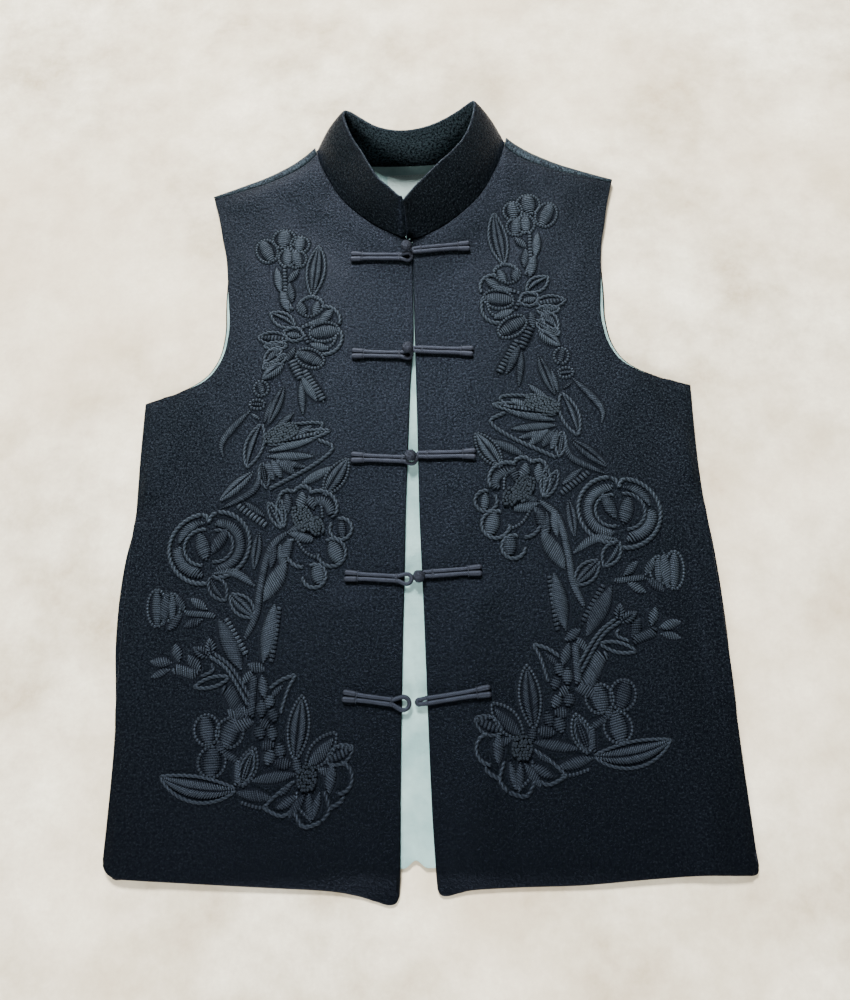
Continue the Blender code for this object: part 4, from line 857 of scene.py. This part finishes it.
def add_back(look, painted_light_fold_look):
    """The flat back, and the folds that bring it forward over the shoulders."""
    half = []
    for side in (-1, 1):
        seam, armhole = back_edge(side, 3.0)
        feet = [fold - out * min(length * 0.9, thick / 2)
                for fold, out, length, thick in fold_places(SHOULDER[::-1])]
        neck = curve(BACK_NECK[:-2], 4.0)[::-1]
        half.append(np.vstack([seam, armhole[1:-2], curve(feet, 4.0), neck]))
    hem_x = np.arange(-240, 241, 3.0)
    hem = np.stack([hem_x, back_hem_at(hem_x)], axis=1)
    outline_line = np.vstack([hem, half[1], (half[0] * (-1, 1))[::-1][1:]])
    panel("back_cloth", outline_line, level_at(BACK_WALL), level_at(0.0), 6.0, look, ("back",),
          roll=0.8, drop=0.7)
    for side in (-1, 1):
        outer, inner = strap(side)
        grid = np.concatenate([outer, inner[:, ::-1]], axis=1)
        count, size = grid.shape[:2]
        faces = bar_faces(count, size)
        if side < 0:
            faces = [f[::-1] for f in faces]
        run = np.linspace(0, 150, count)[:, None]
        around = np.linspace(0, 90, size)[None]
        uv = np.stack(np.broadcast_arrays(run, around), axis=-1).reshape(-1, 2) * MM
        name = "shoulder_fold_left" if side > 0 else "shoulder_fold_right"
        # the folds take a paler copy of the wool with painted light
        fold = make(name, grid.reshape(-1, 3), faces, painted_light_fold_look, uv, ())


def add_lining(look):
    """The back's lining, which shows in the neck, the armholes and between the fronts."""
    hem_x = np.concatenate([np.arange(-228, -16, 4.0), np.arange(-16, 6, 1.5), np.arange(6, 229, 4.0)])
    hem = np.stack([hem_x, back_hem_at(hem_x) - 0.3], axis=1)
    half = []
    for side in (-1, 1):
        _, hole = back_edge(side, 3.0)
        armhole = hole + sideways(hole) * LINING_TUCK
        armhole = armhole[(hole[:, 0] < 226) & (armhole[:, 1] < 208)]
        shoulder = [fold - out * (thick / 2 + 7.0)
                    for fold, out, _, thick in fold_places(SHOULDER[::-1][1:-1])]
        neck = curve([(x, y - 0.6) for x, y in BACK_NECK[:-2]], 4.0)[::-1]
        seam = curve(((232, -384), (232, -200), (232, -14)), 4.0)
        half.append(np.vstack([seam, armhole, curve(shoulder, 4.0), neck]))
    outline_line = np.vstack([hem, half[1], (half[0] * (-1, 1))[::-1][1:]])

    def face(places):
        across, up = places.T
        gap = np.exp(-(across / 9.0) ** 2) * ease((40 - up) / 60)
        waves = 0.5 + 0.5 * np.sin(up / 19.0 + across / 7.0 + np.sin(up / 47.0) * 2)
        return LINING_LEVEL + LINING_WALL + gap * (0.2 + 0.7 * waves)

    panel("lining_cloth", outline_line, face, level_at(LINING_LEVEL), 4.0, look, ("back_lining",),
          roll=0.6, drop=0.4)


def rectangle(left, right, low, high, step):
    """Places along the sides of a rectangle, anticlockwise."""
    return np.vstack([spread(np.array(((a, b), (c, d)), float), step)[:-1] for a, b, c, d in
                      ((left, low, right, low), (right, low, right, high), (right, high, left, high),
                       (left, high, left, low))])


def add_label(look, stitch_look):
    """The blank label and the stitches round it."""
    level = LINING_LEVEL + LINING_WALL + GAP

    def face(places):
        return level + 0.4 + 0.18 * np.sin(places[:, 0] / 5.0) * np.sin(places[:, 1] / 6.0)

    left, right, low, high = LABEL
    panel("label_cloth", rectangle(left, right, low, high, 1.5), face, level_at(level), 2.0, look,
          ("neck_label",), roll=0.4, drop=0.25)
    points, faces, uv = [], [], []
    border = rectangle(left + 1.6, right - 1.6, low + 1.6, high - 1.6, 0.5)
    run = 0
    while run + 4 < len(border):
        line = border[run:run + 4]
        along = line[-1] - line[0]
        out = np.array((-along[1], along[0])) / np.linalg.norm(along)
        first = len(points)
        for k, place in enumerate(line):
            high_at = float(face(place[None])[0]) + (0.22 if 0 < k < 3 else -0.02)
            for shift in (-0.28, 0.28):
                points.append((*(place + out * shift), high_at))
                uv.append((run + k, shift))
        for k in range(3):
            a = first + 2 * k
            faces.append((a, a + 2, a + 3, a + 1))
        run += 6
    make("label_stitches", points, faces, stitch_look, np.array(uv) * MM, ())


def add_facing(name, side, look):
    """The strip of cloth that shows beside a pocket's mouth."""
    seam = np.array(SIDE[side])[::-1]
    show = POCKET_LEFT_SHOW if side > 0 else 1.0
    line = []
    for x, y in POCKET_EDGE:
        at_seam = np.interp(y, seam[:, 1], seam[:, 0])
        line.append((at_seam + (x - at_seam) * show, y))
    line = curve(line, 2.5)
    inner = curve([(POCKET_INSIDE, y) for y in (POCKET_BOTTOM + 4, -230, -198, -165, POCKET_TOP - 4)], 5.0)
    outline_line = mirrored(np.vstack([line, inner]), side)
    outline_line = outline_line if side < 0 else outline_line[::-1]
    panel(name, outline_line, level_at(EDGE_LEVEL + FACING_WALL), level_at(EDGE_LEVEL), 3.0, look,
          ("pocket_facing_right" if side < 0 else "pocket_facing_left",), roll=0.8, drop=0.7)


# ---- frogs ---------------------------------------------------------------------------------------
def face_near_centre(places):
    """The fronts' face near the centre front, also over the gap between them."""
    places = np.asarray(places, float)
    level = np.zeros(len(places))
    for side in (-1, 1):
        mine = (places[:, 0] < 0) == (side < 0)
        if mine.any():
            rows = np.array(CENTRE[side])[::-1]
            inner = np.interp(places[mine, 1], rows[:, 1], rows[:, 0]) + 2.0
            across = side * np.maximum(np.abs(places[mine, 0]), inner)
            level[mine] = front_face(side, np.stack([across, places[mine, 1]], axis=1))
    return level


def hairpin(start, end, eye):
    """A doubled cord from an outer end to a turned end, whose eye is that wide."""
    start, end = np.array(start), np.array(end)
    length = np.linalg.norm(end - start)
    along = (end - start) / length
    out = np.array((-along[1], along[0]))
    straight = []
    for share in (0.0, 0.14, 0.3, 0.52, 0.74):
        half = CORD_SPACING + CORD_FLARE * (1 - ease(share / 0.3))
        straight.append((start + along * length * share, half))
    straight.append((start + along * (length - 2 * eye - 3.0), CORD_SPACING))
    route = [place - out * half for place, half in straight]
    for step in range(7):
        angle = math.radians(-120 + 40 * step)
        route.append(end - along * eye + (along * math.cos(angle) + out * math.sin(angle)) * eye)
    return np.array(route + [place + out * half for place, half in straight[::-1]])


def tube(route, radius, sides=12, pitch=1.6, slant=0.8):
    """Points, faces and UV of a closed tube along places with heights."""
    count = len(route)
    along = np.gradient(route, axis=0)
    along /= np.linalg.norm(along, axis=1)[:, None]
    side = np.stack([along[:, 1], -along[:, 0], np.zeros(count)], axis=1)
    side /= np.linalg.norm(side, axis=1)[:, None] + 1e-9
    up = np.cross(side, along)
    run = run_along(route)
    turn = 2 * math.pi * np.arange(sides) / sides
    radius = np.broadcast_to(radius, (count,))
    points = (route[:, None] + side[:, None] * (radius[:, None] * np.cos(turn))[..., None]
              + up[:, None] * (radius[:, None] * np.sin(turn))[..., None])
    faces = bar_faces(count, sides)
    around = np.minimum(turn, 2 * math.pi - turn) * float(radius.max())
    uv = np.stack(np.broadcast_arrays((run[:, None] + slant * around) / pitch, around), axis=-1)
    return points.reshape(-1, 3), faces, uv.reshape(-1, 2)


def join(parts):
    """Points, faces and UV of several parts as one."""
    points, faces, uv, count = [], [], [], 0
    for p, f, t in parts:
        points.append(p)
        faces += [[count + i for i in face] for face in f]
        uv.append(t)
        count += len(p)
    return np.vstack(points), faces, np.vstack(uv)


def add_frog(name, start, end, eye, look):
    """Half a frog: a doubled cord with wound ends, and threads sewn over it."""
    flat = curve(hairpin(start, end, eye), 1.0)
    level = face_near_centre(flat) + CORD_LEVEL
    route = np.column_stack([flat, level])
    run = run_along(route)
    ends = np.minimum(run, run[-1] - run)
    wobble = 0.05 * np.sin(run / 2.3) + 0.04 * np.sin(run / 5.1 + 1)
    parts = [tube(route, CORD + wobble)]
    wound = (ends < WOUND).argmin() + 1
    for piece in (route[:wound], route[::-1][:wound]):
        far = run_along(piece)
        radius = (WOUND_RADIUS - 0.5 * np.clip(1 - far / 1.2, 0, 1) ** 2
                  - 0.35 * np.clip(far - WOUND + 0.9, 0, 1))
        back = piece[:1] - (piece[1] - piece[0]) / np.linalg.norm(piece[1] - piece[0]) * 0.8
        parts.append(tube(np.vstack([back, piece]), np.concatenate([[1.2], radius]), pitch=0.9, slant=0.1))
    start, end = np.array(start), np.array(end)
    length = np.linalg.norm(end - start)
    direction = (end - start) / length
    out = np.array((-direction[1], direction[0]))
    neck = length - 2 * eye - 3.6
    for at, spread_out, tall in ((neck - 1.0, CORD_SPACING + 1.8, 1.95), (neck, CORD_SPACING + 1.8, 1.95),
                                 (10.6, CORD_SPACING + CORD_FLARE + 1.9, 1.9)):
        middle = start + direction * at
        turn = np.radians(np.linspace(-10, 190, 15))
        line = middle + np.outer(np.cos(turn) * spread_out, out)
        height = face_near_centre(line) + CORD_LEVEL - 0.4 + (np.sin(turn) * 0.25 + 0.75) * tall * 1.12
        height[[0, 1, -2, -1]] -= 1.6
        parts.append(tube(np.column_stack([line, height]), SEWN_RADIUS, sides=6, pitch=0.6))
    points, faces, uv = join(parts)
    # painted light and shade: a cord paler on top and darker on its sides and underneath
    rise = points[:, 2] - face_near_centre(points[:, :2]) - CORD_LEVEL
    make(f"{name}_cord", points, faces, look, uv, (name,), 0.25 + 0.5 * rise / CORD, sharp=0)


def add_ball(name, across, up, level, look):
    """A knot of woven cord: three crossing pairs of rings round a core."""
    middle = np.array((across, up, float(face_near_centre(np.array([[across, up]]))[0]) + level))
    turn = np.linspace(0, 2 * math.pi, 33)
    parts, core = [], []
    for slope in np.radians(np.linspace(-90, 90, 9)):
        core.append(np.stack([np.cos(turn) * math.cos(slope), np.sin(turn) * math.cos(slope),
                              np.full(len(turn), math.sin(slope))], axis=1) * (BALL - 1.5))
    core = np.array(core) * (1, 1, BALL_FLAT) + middle
    index = np.arange(core.shape[0] * core.shape[1]).reshape(core.shape[:2])
    parts.append((core.reshape(-1, 3), grid_faces(index).reshape(-1, 4).tolist(),
                  np.zeros((core.size // 3, 2))))
    tilt = Matrix.Rotation(math.radians(28), 3, "X") @ Matrix.Rotation(math.radians(24), 3, "Z")
    for axis in range(3):
        for shift in (-1.55, 0.0, 1.55):
            radius = math.sqrt((BALL - BALL_CORD) ** 2 - shift ** 2)
            weave = 0.32 * np.sin(2 * turn + axis * 2.1 + shift)
            ring = np.zeros((len(turn), 3))
            ring[:, (axis + 1) % 3] = (radius + weave) * np.cos(turn)
            ring[:, (axis + 2) % 3] = (radius + weave) * np.sin(turn)
            ring[:, axis] = shift
            ring = ring @ np.array(tilt) * (1, 1, BALL_FLAT) + middle
            parts.append(ring_tube(ring, BALL_CORD))
    points, faces, uv = join(parts)
    # painted light and shade: a ball paler on top and darker underneath
    tone = 0.35 + 0.45 * (points[:, 2] - middle[2]) / BALL
    make(f"{name}_cord", points, faces, look, uv, (name,), tone, sharp=0)


def ring_tube(ring, radius, sides=7):
    """Points, faces and UV of a cord along a closed ring."""
    along = np.roll(ring[:-1], -1, axis=0) - np.roll(ring[:-1], 1, axis=0)
    along /= np.linalg.norm(along, axis=1)[:, None]
    centre = ring[:-1].mean(axis=0)
    out = ring[:-1] - centre
    out -= along * np.sum(out * along, axis=1)[:, None]
    out /= np.linalg.norm(out, axis=1)[:, None]
    up = np.cross(out, along)
    turn = 2 * math.pi * np.arange(sides) / sides
    points = (ring[:-1, None] + out[:, None] * (radius * np.cos(turn))[None, :, None]
              + up[:, None] * (radius * np.sin(turn))[None, :, None])
    count = len(points)
    index = np.arange(count * sides).reshape(count, sides)
    below = np.roll(index, -1, axis=0)
    faces = np.stack([index, np.roll(index, -1, axis=1), np.roll(below, -1, axis=1), below], axis=-1)
    run = np.arange(count) * 1.3
    uv = np.stack(np.broadcast_arrays((run[:, None] + turn * radius * 0.8) / 1.2, turn), axis=-1)
    return points.reshape(-1, 3), faces.reshape(-1, 4).tolist(), uv.reshape(-1, 2)


# ---- materials -----------------------------------------------------------------------------------
HEM_SHADE_SPAN = (-0.34, 0.06)       # metres up where the painted shade towards the hem ends and starts


class Look:
    """A material whose nodes are added one by one.  Its specular and sheen share one tint."""

    def __init__(self, name, roughness, specular=0.5, sheen=0.0, tint=(1, 1, 1)):
        self.made = bpy.data.materials.new(name)
        self.made.use_nodes = True
        self.tree = self.made.node_tree
        self.shader = self.tree.nodes["Principled BSDF"]
        values = {"Roughness": roughness, "Specular IOR Level": specular, "Specular Tint": (*tint, 1.0),
                  "Sheen Weight": sheen, "Sheen Roughness": 0.4, "Sheen Tint": (*tint, 1.0)}
        for key, value in values.items():
            self.shader.inputs[key].default_value = value

    def node(self, kind, inputs=None, **settings):
        made = self.tree.nodes.new(f"ShaderNode{kind}")
        for key, value in settings.items():
            setattr(made, key, value)
        for key, value in (inputs or {}).items():
            self.put(made.inputs[key], value)
        return made

    def put(self, socket, value):
        if isinstance(value, bpy.types.NodeSocket):
            self.tree.links.new(value, socket)
        else:
            socket.default_value = value

    def flat(self):
        """Metres along and across the cloth."""
        return self.node("UVMap", uv_map="UVMap").outputs["UV"]

    def solid(self):
        """Metres from the model's middle."""
        return self.node("TexCoord").outputs["Object"]

    def math(self, operation, a, b=0.0):
        return self.node("Math", {0: a, 1: b}, operation=operation).outputs[0]

    def noise(self, place, scale, detail=3.0, rough=0.6):
        inputs = {"Vector": place, "Scale": scale, "Detail": detail, "Roughness": rough}
        return self.node("TexNoise", inputs).outputs["Fac"]

    def blend(self, share, a, b):
        made = self.node("Mix", data_type="RGBA")
        chosen = [s for s in made.inputs if s.enabled]
        for socket, value in zip(chosen, (share, a, b)):
            self.put(socket, (*value, 1.0) if isinstance(value, tuple) else value)
        return [s for s in made.outputs if s.enabled][0]

    def span(self, value, low, high, to_low=0.0, to_high=1.0):
        made = self.node("MapRange", {"Value": value, "From Min": low, "From Max": high,
                                      "To Min": to_low, "To Max": to_high})
        return made.outputs["Result"]

    def painted_hem_shade(self, colour, least):
        """Painted shade: darker towards the hem, as the photo shows it."""
        up = self.node("SeparateXYZ", {0: self.solid()}).outputs["Y"]
        return self.blend(self.span(up, *HEM_SHADE_SPAN, least, 1.0), (0.0, 0.0, 0.0), colour)

    def wave(self, place, direction, pitch, noise=None):
        dot = self.node("VectorMath", {0: place, 1: direction}, operation="DOT_PRODUCT").outputs["Value"]
        turns = self.math("MULTIPLY", dot, 2 * math.pi / pitch)
        if noise is not None:
            turns = self.math("ADD", turns, noise)
        return self.math("SINE", turns)

    def finish(self, colour, height, strength, depth, roughness=None):
        self.tree.links.new(colour, self.shader.inputs["Base Color"])
        if roughness:
            self.tree.links.new(roughness, self.shader.inputs["Roughness"])
        bump = self.node("Bump", {"Height": height, "Strength": strength, "Distance": depth})
        self.tree.links.new(bump.outputs["Normal"], self.shader.inputs["Normal"])
        return self.made


def wool_look(name, paler=1.0, flecks=1.0):
    """Dark wool with pale flecks, rougher towards the armholes, with painted shade towards the hem."""
    look = Look(name, 0.4, 0.070, 0.04, (0.47, 0.60, 1.0))
    place = look.flat()
    broad = look.noise(place, 18.0, 3.0, 0.55)
    fine = look.noise(place, 420.0, 3.0, 0.75)
    fleck = look.noise(place, 640.0, 1.0, 0.5)
    colour = look.blend(look.span(fine, 0.42, 0.62), (0.0001, 0.0003, 0.0003),
                        (0.0052 * paler, 0.0080 * paler, 0.0092 * paler))
    colour = look.blend(look.span(broad, 0.35, 0.7, 0.0, 0.3), colour, (0.0008, 0.0014, 0.0016))
    colour = look.blend(look.span(fleck, 0.56, 0.68, 0.0, 0.6), colour,
                        (0.021 * flecks, 0.027 * flecks, 0.035 * flecks))
    # painted shade towards the hem
    colour = look.painted_hem_shade(colour, 0.25)
    nap = look.math("ADD", look.span(fine, 0.4, 0.62, 0.22, 0.0), look.span(fleck, 0.4, 0.62, 0.16, 0.0))
    away = look.math("ABSOLUTE", look.node("SeparateXYZ", {0: look.solid()}).outputs["X"])
    nap = look.math("ADD", nap, look.span(away, 0.125, 0.2, 0.24, 0.42))
    return look.finish(colour, fine, 1.0, 0.0008, nap)


def thread_look(name, dark, pale, gloss, depth):
    look = Look(name, 0.5, gloss, 0.0, (0.50, 0.66, 1.0))
    place = look.flat()
    solid = look.solid()
    # the tone attribute holds each thread's own tone together with painted shade and painted light
    tone = look.node("Attribute", attribute_name="tone").outputs["Fac"]
    grain = look.noise(solid, 1300.0, 3.0, 0.7)
    spots = look.noise(solid, 260.0, 2.0, 0.5)
    lines = look.wave(place, (1.0, 0.0, 0.0), 1.0, look.math("MULTIPLY", spots, 1.2))
    share = look.math("ADD", look.math("MULTIPLY", lines, 0.16), look.span(grain, 0.3, 0.7, -0.3, 0.35))
    share = look.math("ADD", share, look.span(tone, 0.0, 1.0, -0.1, 0.75))
    colour = look.blend(look.math("MINIMUM", look.math("MAXIMUM", share, 0.0), 1.0), dark, pale)
    # painted shade towards the hem
    colour = look.painted_hem_shade(colour, 0.18)
    height = look.math("ADD", look.math("MULTIPLY", lines, 0.5), look.math("MULTIPLY", grain, 0.5))
    return look.finish(colour, height, 0.7, depth, look.span(share, 0.1, 0.75, 1.0, 0.38))


def lining_look(name, colour_a, colour_b):
    look = Look(name, 0.55, 0.35, 0.15)
    place = look.flat()
    broad = look.noise(place, 24.0, 4.0, 0.6)
    crease = look.noise(place, 34.0, 4.0, 0.5)
    weave = look.math("ADD", *(look.wave(place, way, 0.0007) for way in ((1, 0, 0), (0, 1, 0))))
    colour = look.blend(look.span(broad, 0.35, 0.65), colour_a, colour_b)
    height = look.math("ADD", look.math("MULTIPLY", weave, 0.03), crease)
    return look.finish(colour, height, 0.8, 0.008)


def floor_look():
    look = Look("pale_floor", 0.9, 0.2)
    place = look.solid()
    cloud = look.noise(place, 9.0, 6.0, 0.7)
    patch = look.noise(place, 2.6, 3.0, 0.6)
    grain = look.noise(place, 260.0, 2.0, 0.6)
    colour = look.blend(look.span(cloud, 0.32, 0.68), (0.42, 0.345, 0.23), (1.0, 0.95, 0.77))
    colour = look.blend(look.span(patch, 0.42, 0.66, 0.0, 0.55), colour, (0.74, 0.61, 0.43))
    colour = look.blend(look.span(grain, 0.3, 0.7, 0.0, 0.3), colour, (0.62, 0.53, 0.39))
    return look.finish(colour, cloud, 0.15, 0.004)


# ---- light, camera and floor ---------------------------------------------------------------------
LAMPS = (  # name, place, size and power, in metres and watts, and colour
    ("window", (-0.4, 2.4, 2.6), 0.9, 430.0, (1.0, 0.985, 0.96)),
    ("far_window", (-0.5, 3.4, 0.9), 1.2, 100.0, (1.0, 0.99, 0.97)),
    ("room", (-0.7, -3.0, 1.5), 1.6, 225.0, (1.0, 0.98, 0.95)))
CAMERA_PLACE = (30.364, -331.539, 692.758)
CAMERA_TURNS = ((-1.11, "Z"), (2.31, "Y"), (18.43, "X"))     # degrees


def set_stage():
    mesh = bpy.data.meshes.new("floor")
    mesh.from_pydata([(-4, -4, 0), (4, -4, 0), (4, 4, 0), (-4, 4, 0)], [], [(0, 1, 2, 3)])
    mesh.materials.append(floor_look())
    show("floor", mesh)
    world = bpy.data.worlds.new("soft_room")
    world.use_nodes = True
    background = world.node_tree.nodes["Background"]
    background.inputs["Color"].default_value = (1.0, 1.0, 1.0, 1.0)
    background.inputs["Strength"].default_value = 0.24
    bpy.context.scene.world = world
    for name, place, size, power, colour in LAMPS:
        light = bpy.data.lights.new(name, "AREA")
        light.shape = "DISK"
        light.size = size
        light.energy = power
        light.color = colour
        lamp = show(name, light)
        lamp.location = place
        lamp.rotation_euler = (-Vector(place)).to_track_quat("-Z", "Y").to_euler()


def set_camera():
    data = bpy.data.cameras.new("camera")
    data.lens = 30.0
    data.sensor_width = 36.0
    data.clip_start = 0.01
    camera = show("camera", data)
    stand = Matrix.Translation(Vector((np.array(CAMERA_PLACE) - BOX_MIDDLE) * MM))
    for angle, axis in CAMERA_TURNS:
        stand = stand @ Matrix.Rotation(math.radians(angle), 4, axis)
    camera.matrix_world = stand
    bpy.context.scene.camera = camera


def build():
    set_camera()
    set_stage()
    wool = wool_look("wool")
    thread = thread_look("embroidery_thread", (0.0001, 0.0002, 0.0002), (0.031, 0.041, 0.049), 0.27,
                         0.00022)
    cord = thread_look("frog_cord", (0.0004, 0.0004, 0.0008), (0.040, 0.043, 0.055), 0.3, 0.0002)
    lining = lining_look("lining", (0.24, 0.43, 0.43), (0.42, 0.66, 0.64))
    label = lining_look("label", (0.44, 0.59, 0.57), (0.48, 0.63, 0.61))
    stitch = lining_look("label_stitch", (0.22, 0.31, 0.31), (0.26, 0.35, 0.35))
    # a paler copy of the wool with painted light, for the collar's inner face and the shoulder folds
    painted_light_wool = wool_look("wool_with_painted_light", 6.5, 2.5)
    add_back(wool, painted_light_wool)
    add_lining(lining)
    add_label(label, stitch)
    for side, name in ((-1, "right"), (1, "left")):
        add_facing(f"facing_{name}_cloth", side, wool)
        panel(f"front_{name}_cloth", front_outline(side), lambda p, s=side: front_face(s, p),
              lambda p, s=side: front_underside(s, p), 3.0, wool, (f"front_{name}",))
        sew(side, Ground(side), thread)
    add_collar(wool, painted_light_wool)
    for number, row in enumerate(FROG_LOOPS, 1):
        add_frog(f"frog_loop_{number}", row[:2], row[2:4], row[4], cord)
    for number, row in enumerate(FROG_KNOTS, 1):
        reach = BALL_REACH if number <= len(BALLS) else 0.0
        add_frog(f"frog_knot_{number}", row[:2], (row[2] - reach, row[3]), KNOT_EYE, cord)
    for number, row in enumerate(BALLS, 1):
        add_ball(f"ball_knot_{number}", *row, cord)


build()
